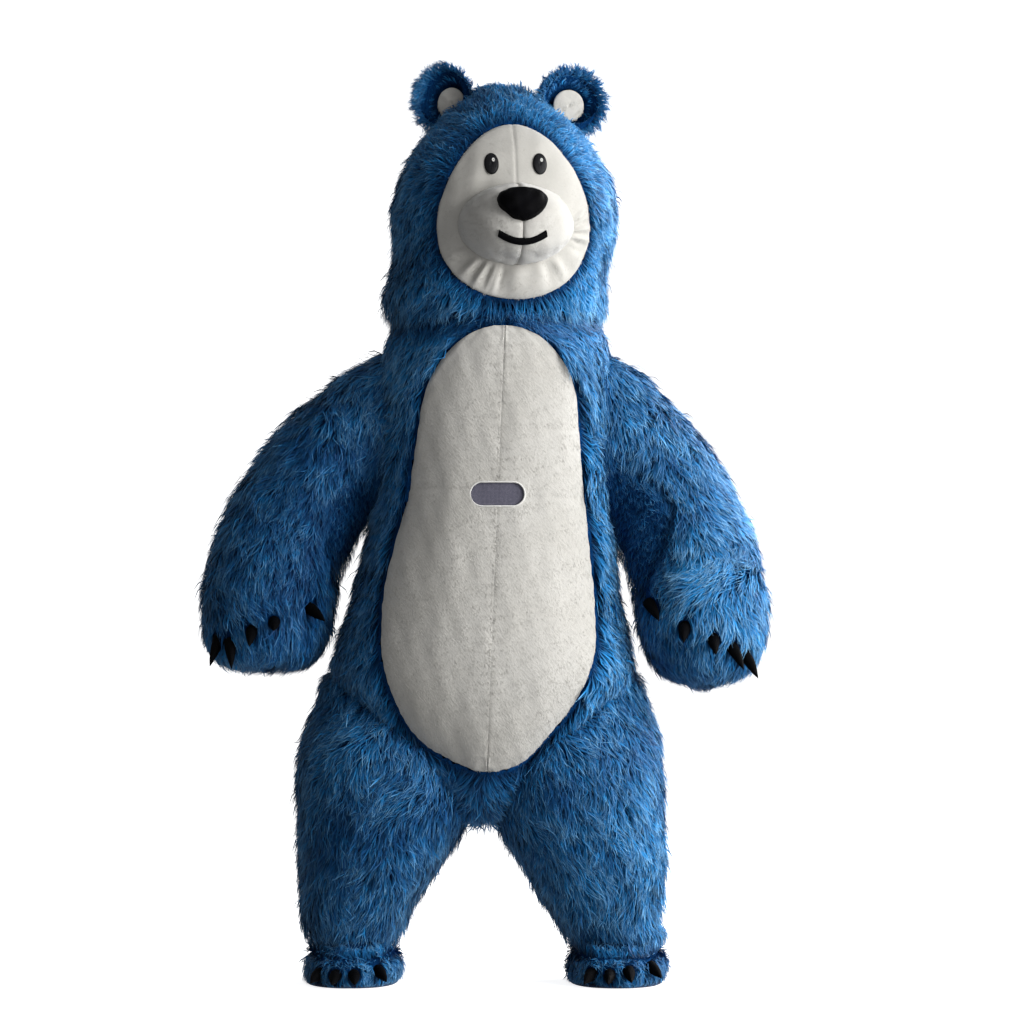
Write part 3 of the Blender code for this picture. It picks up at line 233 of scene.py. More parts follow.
# Ears: x, z, half width, half height, turn
EARS = {
    "left": (-0.130, 2.888, 0.102, 0.112, math.radians(-16)),
    "right": (0.274, 2.878, 0.116, 0.110, math.radians(20)),
}
EAR_Y = 0.020
EAR_COLUMNS = 96
EAR_PROFILE = [
    (-0.018, 0.46), (-0.024, 0.58), (-0.046, 0.70), (-0.054, 0.82), (-0.040, 0.94),
    (0.000, 1.00), (0.034, 0.88), (0.054, 0.62),
]
EAR_BACK = [(0.30, 0.059), (0.02, 0.060)]
EAR_DISH = {"left": np.array((0.030, -0.021)), "right": np.array((-0.006, -0.017))}
EAR_PALE = 0.45

# Creases in the cloth: form, side (front -1, back 1), path in x and z, width, depth. Their depth also sets
# painted shade on the pile over them.
CREASES = [
    ("arm_right", -1,
     [(0.500, 1.700), (0.570, 1.640), (0.606, 1.552), (0.560, 1.410), (0.500, 1.306)], 0.022, 0.028),
    ("arm_right", -1, [(0.470, 1.560), (0.540, 1.520), (0.555, 1.440)], 0.018, 0.012),
    ("arm_left", -1, [(-0.556, 1.560), (-0.515, 1.510), (-0.486, 1.420), (-0.470, 1.330)], 0.020, 0.026),
    ("arm_left", -1, [(-0.440, 1.600), (-0.500, 1.590), (-0.560, 1.620)], 0.030, 0.012),
    ("arm_left", 1, [(-0.470, 1.480), (-0.560, 1.500), (-0.680, 1.560)], 0.030, 0.016),
    ("arm_right", 1, [(0.470, 1.470), (0.570, 1.500), (0.690, 1.560)], 0.030, 0.016),
    ("torso", -1,
     [(-0.428, 0.920), (-0.340, 0.806), (-0.262, 0.729), (-0.165, 0.642), (-0.120, 0.600)], 0.013, 0.013),
    ("torso", -1,
     [(0.420, 0.930), (0.345, 0.810), (0.262, 0.729), (0.165, 0.642), (0.120, 0.600)], 0.013, 0.012),
    ("torso", 1, [(-0.420, 0.880), (-0.300, 0.760), (-0.150, 0.650), (-0.060, 0.570)], 0.035, 0.020),
    ("torso", 1, [(0.420, 0.880), (0.300, 0.760), (0.150, 0.650), (0.060, 0.570)], 0.035, 0.020),
    ("torso", -1, [(-0.380, 1.400), (-0.340, 1.360), (-0.310, 1.340)], 0.028, 0.012),
    ("torso", 1, [(-0.300, 1.330), (-0.160, 1.300), (-0.040, 1.320)], 0.045, 0.014),
    ("torso", 1, [(0.320, 1.350), (0.180, 1.310), (0.060, 1.330)], 0.045, 0.012),
    ("leg_left", -1, [(-0.480, 0.560), (-0.380, 0.530), (-0.260, 0.560)], 0.040, 0.010),
    ("leg_right", -1, [(0.200, 0.540), (0.320, 0.510), (0.440, 0.550)], 0.040, 0.010),
    ("leg_left", 1, [(-0.500, 0.540), (-0.360, 0.500), (-0.200, 0.540)], 0.045, 0.014),
    ("leg_right", 1, [(0.190, 0.540), (0.330, 0.500), (0.470, 0.540)], 0.045, 0.014),
]

# Pile of each kind of piece: length, lift, locks to the square metre, width of a lock
PILE = {
    "torso": (0.072, 0.025, 20500, 0.0036), "head": (0.050, 0.026, 27000, 0.0031),
    "leg": (0.076, 0.025, 20500, 0.0036), "arm": (0.080, 0.026, 23500, 0.0035),
    "foot": (0.046, 0.024, 30000, 0.0031), "ear": (0.044, 0.010, 60000, 0.0026),
}
LOCK_LEVELS = (0.0, 0.50, 1.0)
LOCK_WIDTHS = (0.80, 1.0)
CLUMP_LENGTH = 0.034
CLUMP_WIDTH = 0.016
BEND_STEP = 0.03
FOOT_TOP = 0.098
FLOOR_CLEAR = 0.004
TUFTS_PER_SQUARE_METRE = 52000

# Where the pile is short, with painted shade on it: form, x, z, half width, half height, lean, least length
SHORT_PLACES = [
    ("arm_right", 0.495, 1.490, 0.130, 0.230, 0.25, 0.20),
    ("arm_left", -0.420, 1.520, 0.090, 0.180, -0.20, 0.22),
    ("arm_left", -0.600, 1.440, 0.150, 0.210, -0.10, 0.58),
]

# The photograph's frame, and the light
METRES_PER_PIXEL = 0.00324
PHOTO_SIZE = 1024
BODY_COLUMN = 484
FLOOR_ROW = 988
LENS = 200.0
SENSOR = 36.0
AIR = 0.44
AIR_SLOPE = 0.31


# Small helpers

def fade(x):
    """A share held between 0 and 1."""
    return np.clip(x, 0, 1)


def bell(x, width):
    """1 at 0, falling off smoothly to either side."""
    return np.exp(-((x / width) ** 2))


def turns(count):
    """Angles of this many stations all round."""
    return np.arange(count) * 2 * math.pi / count


def unit(v):
    return v / np.maximum(np.linalg.norm(v, axis=-1, keepdims=True), 1e-9)


def oval(u, w, half_width, half_height, angle, share=1.0):
    return u + half_width * share * np.cos(angle), w + half_height * share * np.sin(angle)


def across(way, normals):
    """A way laid flat on the surface that has these normals."""
    return way - normals * np.sum(way * normals, axis=1, keepdims=True)


def turned(way, normals, angle):
    return way * np.cos(angle)[:, None] + np.cross(normals, way) * np.sin(angle)[:, None]


def ring_quads(rows, columns):
    index = np.arange(rows * columns).reshape(rows, columns)
    following = np.roll(index, -1, axis=1)
    return np.stack([index[:-1], following[:-1], following[1:], index[1:]], axis=-1).reshape(-1, 4)


def wave_field(points, size, seed):
    """Smooth noise of about -1 to 1 with features of this size."""
    rng = np.random.default_rng(seed)
    points = np.asarray(points)
    flat = points.reshape(-1, 3)
    total = np.zeros(len(flat))
    for _ in range(7):
        way = unit(rng.normal(size=3)) * 2 * math.pi / size * rng.uniform(0.6, 1.5)
        total += np.sin(flat @ way + rng.uniform(0, 6.28))
    return (total / 2.6).reshape(points.shape[:-1])


# Sections

def smoothed(rows, steps):
    """Rows of a table with smooth rows between them."""
    values = np.array(rows, float)
    lengths = np.linalg.norm(np.diff(values, axis=0), axis=1)
    slopes = np.gradient(values, np.concatenate([[0.0], np.cumsum(lengths)]), axis=0)
    out = []
    for i, length in enumerate(lengths):
        for t in np.arange(steps) / steps:
            h = (2 * t**3 - 3 * t**2 + 1, t**3 - 2 * t**2 + t, 3 * t**2 - 2 * t**3, t**3 - t**2)
            out.append(
                h[0] * values[i] + h[1] * length * slopes[i]
                + h[2] * values[i + 1] + h[3] * length * slopes[i + 1]
            )
    out.append(values[-1])
    return np.array(out)


def level_ring(row, angle):
    z, centre, half_width, front, back = row
    c, s = np.cos(angle), np.sin(angle)
    x = np.sign(c) * np.abs(c) ** (2 / SQUARENESS)
    y = np.sign(s) * np.abs(s) ** (2 / SQUARENESS)
    depth = np.where(s < 0, front, back)
    return np.stack([centre + half_width * x, depth * y, np.full(len(angle), z)], axis=1)


def limb_rings(rows, angle):
    centres = rows[:, :3]
    tangents = np.gradient(centres, axis=0)
    tangents /= np.linalg.norm(tangents, axis=1, keepdims=True)
    grid = []
    for centre, tangent, (half_width, half_depth) in zip(centres, tangents, rows[:, 3:]):
        side = np.cross((0, 1, 0), tangent)
        side /= np.linalg.norm(side)
        deep = np.cross(tangent, side)
        grid.append(
            centre
            + np.outer(np.cos(angle) * half_width, side)
            + np.outer(np.sin(angle) * half_depth, deep)
        )
    return np.array(grid)


def read_grid(field, r, m):
    """A grid's value between its rows, and between its columns, which close up all round."""
    rows, columns = field.shape[:2]
    r = np.clip(r, 0, rows - 1.001)
    r0 = np.floor(r).astype(int)
    m0 = np.floor(m).astype(int)
    fr, fm = (r - r0)[..., None], (m - m0)[..., None]
    m0, m1 = m0 % columns, (m0 + 1) % columns
    return (
        (field[r0, m0] * (1 - fm) + field[r0, m1] * fm) * (1 - fr)
        + (field[r0 + 1, m0] * (1 - fm) + field[r0 + 1, m1] * fm) * fr
    )


class Form:
    """A smooth hollow shape of the costume, read at any row and column."""

    def __init__(self, kind, rows, tip=None, steps=12, columns=360):
        self.steps = steps
        if kind == "ear":
            grid = rows
        else:
            self.table = rows = smoothed(rows, steps)
            angle = turns(columns)
            if kind == "limb":
                grid = limb_rings(rows, angle)
            else:
                grid = np.array([level_ring(row, angle) for row in rows])
        if tip is not None:
            last = grid[-1]
            middle = last.mean(axis=0)
            rise = np.array(tip) - middle
            caps = [middle + rise * (1 - s**2) ** 0.5 + (last - middle) * s for s in (0.85, 0.6, 0.3, 0.02)]
            grid = np.concatenate([grid, np.array(caps)])
        self.point = grid + SHIFT
        self.rows, self.columns = grid.shape[:2]
        self.down = np.gradient(self.point, axis=0)
        self.round = (np.roll(self.point, -1, axis=1) - np.roll(self.point, 1, axis=1)) / 2
        self.normal = unit(np.cross(self.round, self.down)) * (-1 if kind == "ear" else 1)
        cell = np.linalg.norm(np.cross(self.round, self.down), axis=2)
        self.area = cell[:-1] + cell[1:]

    def at(self, r, m):
        return read_grid(self.point, r, m), unit(read_grid(self.normal, r, m))

    def on_side(self, x, z, depth, side):
        """Points at this depth that lie at x and z, on the front (side -1) or the back (1)."""
        x, z = np.broadcast_arrays(np.asarray(x, float), np.asarray(z, float))
        at_x, at_z = x.copy(), z.copy()
        heights = self.table[:, 0]
        for _ in range(5):
            r = np.interp(at_z, heights, np.arange(len(heights)))
            centre = np.interp(at_z, heights, self.table[:, 1]) + SHIFT[0]
            half = np.interp(at_z, heights, self.table[:, 2])
            share = np.clip((at_x - centre) / half, -0.9999, 0.9999)
            angle = np.arccos(np.sign(share) * np.abs(share) ** (SQUARENESS / 2))
            if side < 0:
                angle = 2 * math.pi - angle
            point, normal = self.at(r, angle * self.columns / (2 * math.pi))
            point = point - normal * np.asarray(depth)[..., None]
            at_x += x - point[..., 0]
            at_z += z - point[..., 2]
        return point, normal

    def scatter(self, count, rng):
        """Rows and columns of places spread evenly over the surface."""
        share = np.cumsum(self.area.ravel())
        pick = np.searchsorted(share / share[-1], (np.arange(count) + rng.random(count)) / count)
        i, j = np.divmod(np.minimum(pick, self.area.size - 1), self.columns)
        return i + rng.random(count), j + rng.random(count)

    def tree(self, depth, rows=1, columns=1):
        grid = (self.point - depth * self.normal)[::rows, ::columns]
        return BVHTree.FromPolygons(grid.reshape(-1, 3).tolist(), ring_quads(*grid.shape[:2]).tolist())


def ear_space(side):
    """A function from an ear's own directions, across, up and back, to the part's frame."""
    x, z, _, _, turn = EARS[side]
    c, s = math.cos(turn), math.sin(turn)

    def at(u, w, d):
        u, w, d = np.broadcast_arrays(np.asarray(u, float), w, d)
        return np.stack([x + c * u - s * d, EAR_Y + s * u + c * d, z + w], axis=-1)

    return at


def ear_grid(side):
    """Rings over the ear: from its dish, over the rim and round to the back."""
    at = ear_space(side)
    _, _, half_width, half_height, _ = EARS[side]
    grid = []
    for share, d in smoothed([(share, d) for d, share in EAR_PROFILE] + EAR_BACK, 5):
        off = EAR_DISH[side] * max(0.0, (1 - share) / (1 - EAR_PROFILE[0][1])) * (d < 0)
        grid.append(at(*oval(*off, half_width, half_height, turns(EAR_COLUMNS), share), d))
    return np.array(grid)


def beside_seam(points):
    """How far points lie to the right of the centre seam."""
    return points[:, 0] - seam_x(points[:, 2])


def seam_x(z):
    share = (z - BELLY_BOTTOM) / (BELLY_TOP - BELLY_BOTTOM)
    return SEAM_X_AT_BOTTOM + share * (SEAM_X_AT_TOP - SEAM_X_AT_BOTTOM) + SHIFT[0]


def leg_rows(rows, columns):
    return [(z, x, half_width, front, back) for (z, front, back), (x, half_width) in zip(rows, columns)]


LIMB_TIPS = {
    "leg_left": (-0.402, 0.0, 1.034), "leg_right": (0.388, 0.0, 1.034),
    "arm_left": (-0.708, -0.106, 1.022), "arm_right": (0.744, -0.106, 0.973),
}
FORMS = {
    "torso": Form("level", TORSO),
    "head": Form("level", HEAD, tip=(0.059, 0.0, 2.929)),
}
for side in EARS:
    rows = leg_rows(LEG, LEG_ACROSS[side])
    FORMS["leg_" + side] = Form("level", rows, tip=LIMB_TIPS["leg_" + side], steps=8, columns=240)
for side in EARS:
    FORMS["foot_" + side] = Form("level", leg_rows(FOOT, FOOT_ACROSS[side]), steps=6, columns=240)
for side in EARS:
    FORMS["arm_" + side] = Form("limb", ARM[side], tip=LIMB_TIPS["arm_" + side], steps=10, columns=240)
for side in EARS:
    FORMS["ear_" + side] = Form("ear", ear_grid(side))


def face_space(u, w, d):
    """A point of the face's own directions, across, up and out, in the part's frame."""
    c, s = math.cos(HEAD_TURN), math.sin(HEAD_TURN)
    u, w, d = np.broadcast_arrays(np.asarray(u, float), w, d)
    return np.stack([HEAD_X + c * u + s * d, s * u - c * d, HEAD_Z + w], axis=-1) + SHIFT


FACE_OUT = face_space(0, 0, 1) - face_space(0, 0, 0)
FACE_SIDE = face_space(1, 0, 0) - face_space(0, 0, 0)


def face_coordinates(points):
    rel = points - face_space(0, 0, 0)
    return rel @ FACE_SIDE, rel[..., 2], rel @ FACE_OUT


def on_face(u, w, depth):
    """Smooth points of the head at this depth that lie at u and w of the face."""
    u, w = np.broadcast_arrays(np.asarray(u, float), np.asarray(w, float))
    x = HEAD_X + SHIFT[0] + u * math.cos(HEAD_TURN) + HEAD_FRONT * math.sin(HEAD_TURN)
    z = HEAD_Z + w
    for _ in range(6):
        point, normal = FORMS["head"].on_side(x, z, depth, -1)
        at_u, at_w, _ = face_coordinates(point)
        x, z = x + u - at_u, z + w - at_w
    return point, normal


def face_outline(count):
    angle = turns(count)
    u = FACE_HALF_WIDTH * np.cos(angle) * (1 - FACE_TAPER * np.sin(angle))
    return np.stack([u, FACE_HALF_HEIGHT * np.sin(angle)], axis=1)


def stadium(grow, per_end):
    """The window's outline, grown by this much."""
    half_width, half_height = WINDOW_HALF_WIDTH + grow, WINDOW_HALF_HEIGHT + grow
    points = []
    for side, start in ((1, -math.pi / 2), (-1, math.pi / 2)):
        for i in range(per_end + 1):
            a = start + math.pi * i / per_end
            points.append((
                WINDOW_X + SHIFT[0] + side * (half_width - half_height) + half_height * math.cos(a),
                WINDOW_Z + half_height * math.sin(a),
            ))
    return np.array(points)


FACE_LOOP = face_outline(96)
BELLY_EDGE = smoothed(BELLY, 3)
BELLY_LOOP = np.concatenate([BELLY_EDGE[:, [1, 0]], BELLY_EDGE[::-1][:, [2, 0]]]) + SHIFT[[0, 2]]
WINDOW_LOOP = stadium(0.0, 14)


def off_edge(points, a, b):
    """From the nearest place on the line from a to b out to each point."""
    edge = b - a
    t = fade(((points - a) @ edge) / max(edge @ edge, 1e-12))
    return points - (a + t[:, None] * edge)


def outline_distance(points, loop):
    """Signed distance to a closed outline, over 0 outside it, and the way out."""
    best = np.full(len(points), 1e9)
    way = np.zeros((len(points), 2))
    inside = np.zeros(len(points), bool)
    for a, b in zip(loop, np.roll(loop, -1, axis=0)):
        off = off_edge(points, a, b)
        far = np.linalg.norm(off, axis=1)
        near = far < best
        best[near] = far[near]
        way[near] = off[near]
        crosses = (a[1] > points[:, 1]) != (b[1] > points[:, 1])
        with np.errstate(divide="ignore", invalid="ignore"):
            x = a[0] + (points[:, 1] - a[1]) * (b[0] - a[0]) / (b[1] - a[1])
        inside ^= crosses & (points[:, 0] < x)
    sign = np.where(inside, -1.0, 1.0)
    return best * sign, unit(way) * sign[:, None]


def panel_edge(form, points):
    """Distance out of the panel let into the torso or the head, the way out, and where it counts."""
    if form == "torso":
        return *outline_distance(points[:, [0, 2]], BELLY_LOOP), points[:, 1] < SHIFT[1] - TORSO_FACES
    u, w, d = face_coordinates(points)
    return *outline_distance(np.stack([u, w], axis=1), FACE_LOOP), d > FACE_STARTS


# Materials

class Nodes:
    """Short calls for a material's node tree."""

    def __init__(self, name, roughness, **constant):
        self.material = bpy.data.materials.new(name)
        self.material.use_nodes = True
        self.tree = self.material.node_tree
        self.shader = self.tree.nodes["Principled BSDF"]
        self.set(self.shader, Roughness=roughness, **constant)

    def put(self, socket, value):
        if isinstance(value, bpy.types.NodeSocket):
            self.tree.links.new(value, socket)
        elif socket.type == "RGBA" and len(value) == 3:
            socket.default_value = (*value, 1)
        else:
            socket.default_value = value

    def set(self, node, **values):
        """Put values into a node's sockets, with _ for the spaces in their names."""
        for key, value in values.items():
            self.put(node.inputs[key.replace("_", " ")], value)
        return node

    def add(self, kind, props=(), **values):
        node = self.tree.nodes.new("ShaderNode" + kind)
        for key, value in dict(props).items():
            setattr(node, key, value)
        return self.set(node, **values)

    def place(self, scale=(1, 1, 1), turn=(0, 0, 0)):
        where = self.add("TexCoord").outputs["Object"]
        return self.add("Mapping", Vector=where, Scale=scale, Rotation=turn).outputs["Vector"]

    def noise(self, vector, scale, detail=3.0, rough=0.55):
        node = self.add("TexNoise", Vector=vector, Scale=scale, Detail=detail, Roughness=rough)
        return node.outputs["Fac"]

    def ramp(self, factor, stops):
        node = self.add("ValToRGB", Fac=factor)
        band = node.color_ramp
        band.interpolation = "EASE"
        for i, (at, colour) in enumerate(stops):
            stop = band.elements[i] if i < 2 else band.elements.new(at)
            stop.position = at
            stop.color = (*colour, 1) if len(np.shape(colour)) else (colour, colour, colour, 1)
        return node.outputs["Color"]

    def math(self, how, a, b):
        node = self.add("Math", {"operation": how})
        for socket, value in zip(node.inputs, (a, b)):
            self.put(socket, value)
        return node.outputs[0]

    def mix(self, factor, a, b, how="MIX"):
        node = self.add("Mix", {"data_type": "RGBA", "blend_type": how})
        for socket, value in ((node.inputs[0], factor), (node.inputs[6], a), (node.inputs[7], b)):
            self.put(socket, value)
        return node.outputs[2]

    def bump(self, height, distance):
        node = self.add("Bump", Height=height, Distance=distance)
        self.set(self.shader, Normal=node.outputs["Normal"])

    def colour(self, socket):
        self.set(self.shader, Base_Color=socket)

    def rough(self, socket):
        self.set(self.shader, Roughness=socket)


def pile_material(name, roughness, dark, pale, **constant):
    """Pile between a dark and a pale tone, each with its colours from root to tip."""
    n = Nodes(name, roughness, **constant)
    uv = n.add("UVMap", {"uv_map": "OFBake"}).outputs["UV"]
    tone, along, _ = n.add("SeparateXYZ", Vector=uv).outputs
    n.colour(n.mix(tone, n.ramp(along, dark), n.ramp(along, pale)))
    return n.material


def nap_material(name, ribs):
    """Short pale nap with slanted ribs, worn patches and a little dirt."""
    n = Nodes(name, 0.92, Sheen_Weight=0.35, Sheen_Roughness=0.5)
    slant = n.place(turn=(0, math.radians(38), 0))
    rib = n.noise(n.add("Mapping", Vector=slant, Scale=(230, 90, 80)).outputs["Vector"], 1.0, 2)
    fuzz = n.noise(n.place(), 420)
    worn = n.noise(n.place(), 3.2, 4)
    dirt = n.noise(n.place(), 9, 5, 0.62)
    base = n.ramp(worn, [(0.30, (0.462, 0.446, 0.408)), (0.70, (0.520, 0.506, 0.472))])
    ribbed = n.ramp(rib, [(0.36, 0.88), (0.62, 1.0)])
    shade = n.mix(0.55 * ribs + 0.1, base, ribbed, "MULTIPLY")
    spot = n.ramp(dirt, [(0.66, 0.0), (0.80, 0.25)])
    stained = n.mix(spot, shade, (0.470, 0.435, 0.370))
    n.colour(n.mix(n.ramp(fuzz, [(0.3, 0.0), (0.7, 0.3)]), stained, (0.400, 0.392, 0.365)))
    n.bump(n.math("ADD", n.math("MULTIPLY", rib, ribs), n.math("MULTIPLY", fuzz, 0.35)), 0.0012)
    return n.material


def grained(name, roughness, grain, low, high, bump=None, rough=None, **constant):
    """A material whose colour, and where given its relief and roughness, follow one grain."""
    stretch, scale, detail = grain
    n = Nodes(name, roughness, **constant)
    noise = n.noise(n.place(stretch), scale, detail)
    n.colour(n.ramp(noise, [(0.3, low), (0.7, high)]))
    if rough:
        n.rough(n.ramp(noise, [(0.3, rough[0]), (0.7, rough[1])]))
    if bump:
        n.bump(noise, bump)
    return n.material


def black_plush():
    n = Nodes("black_plush", 0.50, Specular_IOR_Level=0.05, Sheen_Weight=0.0, Sheen_Roughness=0.35)
    fuzz = n.noise(n.place(), 700)
    worn = n.noise(n.place(), 22, 4)
    n.colour(n.ramp(worn, [(0.35, (0.0007, 0.0007, 0.0010)), (0.75, (0.0024, 0.0024, 0.0032))]))
    n.rough(n.ramp(worn, [(0.3, 0.60), (0.7, 0.78)]))
    n.bump(fuzz, 0.0012)
    return n.material


def window_net():
    n = Nodes("window_net", 0.75)
    cross = n.add(
        "TexBrick", Vector=n.place(turn=(math.radians(90), 0, 0)), Scale=330.0, Mortar_Size=0.03,
        Color1=(0.095, 0.092, 0.135), Color2=(0.112, 0.108, 0.152), Mortar=(0.045, 0.042, 0.066),
    ).outputs
    drift = n.ramp(n.noise(n.place(), 30), [(0.35, 0.0), (0.7, 0.35)])
    n.colour(n.mix(drift, cross["Color"], (0.080, 0.078, 0.115)))
    n.bump(cross["Fac"], 0.0006)
    return n.material


def zip_tape():
    n = Nodes("zip_tape", 0.82)
    twill = {"bands_direction": "DIAGONAL"}
    weave = n.add("TexWave", twill, Vector=n.place((1, 0.2, 1)), Scale=420.0, Distortion=0.4)
    grain = n.noise(n.place(), 1200, 2)
    n.colour(n.mix(grain, (0.008, 0.030, 0.105), (0.022, 0.075, 0.220)))
    n.bump(weave.outputs["Fac"], 0.0005)
    return n.material


def sole_cloth():
    n = Nodes("sole_cloth", 0.86)
    grip = n.add("TexVoronoi", Vector=n.place(), Scale=190.0)
    dust = n.ramp(n.noise(n.place(), 14, 4), [(0.4, 0.0), (0.8, 0.6)])
    n.colour(n.mix(dust, (0.010, 0.026, 0.075), (0.045, 0.055, 0.085)))
    n.bump(grip.outputs["Distance"], 0.002)
    return n.material


EVEN = (1, 1, 1)
MATERIALS = {
    # Fur: roots darker than tips as painted shade deep in the pile; the palest tips are partly painted
    # sheen.
    "fur": pile_material(
        "fur_locks", 0.55,
        [(0.0, (0.001, 0.016, 0.052)), (0.5, (0.001, 0.045, 0.158)), (1.0, (0.003, 0.100, 0.300))],
        [(0.0, (0.002, 0.056, 0.180)), (0.5, (0.018, 0.260, 0.640)), (1.0, (0.340, 0.680, 0.960))],
        Specular_IOR_Level=0.16, Sheen_Weight=0.14, Sheen_Roughness=0.4, Sheen_Tint=(0.45, 0.75, 1.0),
    ),
    "tufts": pile_material(
        "nap_tufts", 0.9,
        [(0.0, (0.330, 0.318, 0.286)), (1.0, (0.410, 0.398, 0.364))],
        [(0.0, (0.450, 0.436, 0.402)), (1.0, (0.590, 0.576, 0.538))],
        Sheen_Weight=0.3,
    ),
    "backing": grained(
        "fur_backing", 0.95, ((1, 1, 0.35), 260, 4), (0.001, 0.016, 0.056), (0.003, 0.042, 0.150),
        bump=0.004, Specular_IOR_Level=0.04,
    ),
    "belly_nap": nap_material("belly_nap", 1.0),
    "face_nap": nap_material("face_nap", 0.25),
    "black": black_plush(),
    "eye": grained(
        "eye_satin", 0.30, ((1, 1, 4), 900, 2), (0.002, 0.002, 0.003), (0.008, 0.008, 0.010),
        bump=0.0006, rough=(0.24, 0.40), Specular_IOR_Level=0.20,
    ),
    "net": window_net(),
    "thread": grained("net_thread", 0.6, (EVEN, 160, 3), (0.110, 0.106, 0.150), (0.165, 0.160, 0.215)),
    "piping": grained(
        "white_piping", 0.6, ((1, 1, 3), 800, 2), (0.560, 0.550, 0.520), (0.720, 0.712, 0.685), bump=0.0008,
    ),
    "tape": zip_tape(),
    "metal": grained(
        "zip_metal", 0.32, ((1, 1, 9), 700, 4), (0.240, 0.250, 0.270), (0.420, 0.430, 0.450),
        bump=0.0002, rough=(0.24, 0.44), Metallic=1.0,
    ),
    "sole": sole_cloth(),
    "stitch": grained("seam_thread", 0.7, (EVEN, 900, 2), (0.025, 0.040, 0.080), (0.060, 0.080, 0.130)),
}


# Meshes

def make_object(name, mesh, material, smooth=True):
    obj = bpy.data.objects.new(name, mesh)
    bpy.context.scene.collection.objects.link(obj)
    mesh.materials.append(MATERIALS[material])
    if smooth:
        mesh.shade_smooth()
    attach(obj, "costume")
    return obj


def plain_object(name, points, faces, material, smooth=True):
    mesh = bpy.data.meshes.new(name)
    mesh.from_pydata(np.asarray(points).reshape(-1, 3).tolist(), [], np.asarray(faces).tolist())
    return make_object(name, mesh, material, smooth)


def soup(name, points, faces, material, uv, normals):
    """A mesh of loose triangles with its own UVs and normals."""
    mesh = bpy.data.meshes.new(name)
    faces = np.asarray(faces, np.int32)
    mesh.vertices.add(len(points))
    mesh.vertices.foreach_set("co", np.asarray(points, np.float32).ravel())
    mesh.loops.add(faces.size)
    mesh.loops.foreach_set("vertex_index", faces.ravel())
    mesh.polygons.add(len(faces))
    mesh.polygons.foreach_set("loop_start", np.arange(len(faces), dtype=np.int32) * 3)
    mesh.update(calc_edges=True)
    layer = mesh.uv_layers.new(name="OFBake")
    layer.uv.foreach_set("vector", np.asarray(uv, np.float32)[faces.ravel()].ravel())
    obj = make_object(name, mesh, material)
    made = mesh.attributes.new("custom_normal", "FLOAT_VECTOR", "POINT")
    made.data.foreach_set("vector", np.asarray(normals, np.float32).ravel())
    return obj


def finished(bm, name):
    """A mesh from a bmesh, with its normals facing out."""
    bmesh.ops.recalc_face_normals(bm, faces=bm.faces)
    mesh = bpy.data.meshes.new(name)
    bm.to_mesh(mesh)
    bm.free()
    return mesh


def patch(name, grids, material, wrap=False):
    """One closed plate from an outer and an inner grid of points, or an open sheet from one grid."""
    bm = bmesh.new()
    layers = [[[bm.verts.new(p) for p in row] for row in grid] for grid in grids]
    rows, columns = len(grids[0]), len(grids[0][0])
    span = columns if wrap else columns - 1
    for side, grid in enumerate(layers):
        for i in range(rows - 1):
            for j in range(span):
                k = (j + 1) % columns
                ring = (grid[i][j], grid[i][k], grid[i + 1][k], grid[i + 1][j])
                bm.faces.new(ring if side == 0 else ring[::-1])
    if len(layers) == 2:
        one, two = layers
        edges = []
        for i in (0, rows - 1):
            edges += [((i, j), (i, (j + 1) % columns)) for j in range(span)]
        if not wrap:
            edges += [((i, j), (i + 1, j)) for j in (0, columns - 1) for i in range(rows - 1)]
        for (a, b), (c, d) in edges:
            bm.faces.new((one[a][b], one[c][d], two[c][d], two[a][b]))
    bmesh.ops.remove_doubles(bm, verts=bm.verts, dist=1e-6)
    return make_object(name, finished(bm, name), material)


def fill_ends(obj):
    bm = bmesh.new()
    bm.from_mesh(obj.data)
    bmesh.ops.holes_fill(bm, edges=[e for e in bm.edges if e.is_boundary], sides=0)
    bmesh.ops.triangulate(bm, faces=[f for f in bm.faces if len(f.verts) > 4])
    bmesh.ops.recalc_face_normals(bm, faces=bm.faces)
    bm.to_mesh(obj.data)
    bm.free()
    obj.data.shade_smooth()


def dress(node, slot, obj, *lying, **sheet):
    """Hide the part of the node whose place the piece takes."""
    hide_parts(node)
    if lying:
        sheet["with_pieces"] = list(lying)


def fair_area(area, size):
    """An area that a sheet of this width and length can have."""
    return min(max(area, 0.31 * size[0] * size[1]), 0.999 * size[0] * size[1])


def flat_cut(grid):
    """Width and length, and area, of a sheet, from the grid of its outer face."""
    width = float(np.linalg.norm(np.diff(grid, axis=1), axis=2).sum(axis=1).max())
    length = float(np.linalg.norm(np.diff(grid, axis=0), axis=2).sum(axis=0).max())
    a, b, c, d = grid[:-1, :-1], grid[:-1, 1:], grid[1:, 1:], grid[1:, :-1]
    area = float(np.linalg.norm(np.cross(c - a, d - b), axis=2).sum() / 2)
    size = (round(width, 3), round(length, 3))
    return size, fair_area(area, size)


def mesh_area(obj):
    return float(sum(p.area for p in obj.data.polygons))


# Cloth under the fur

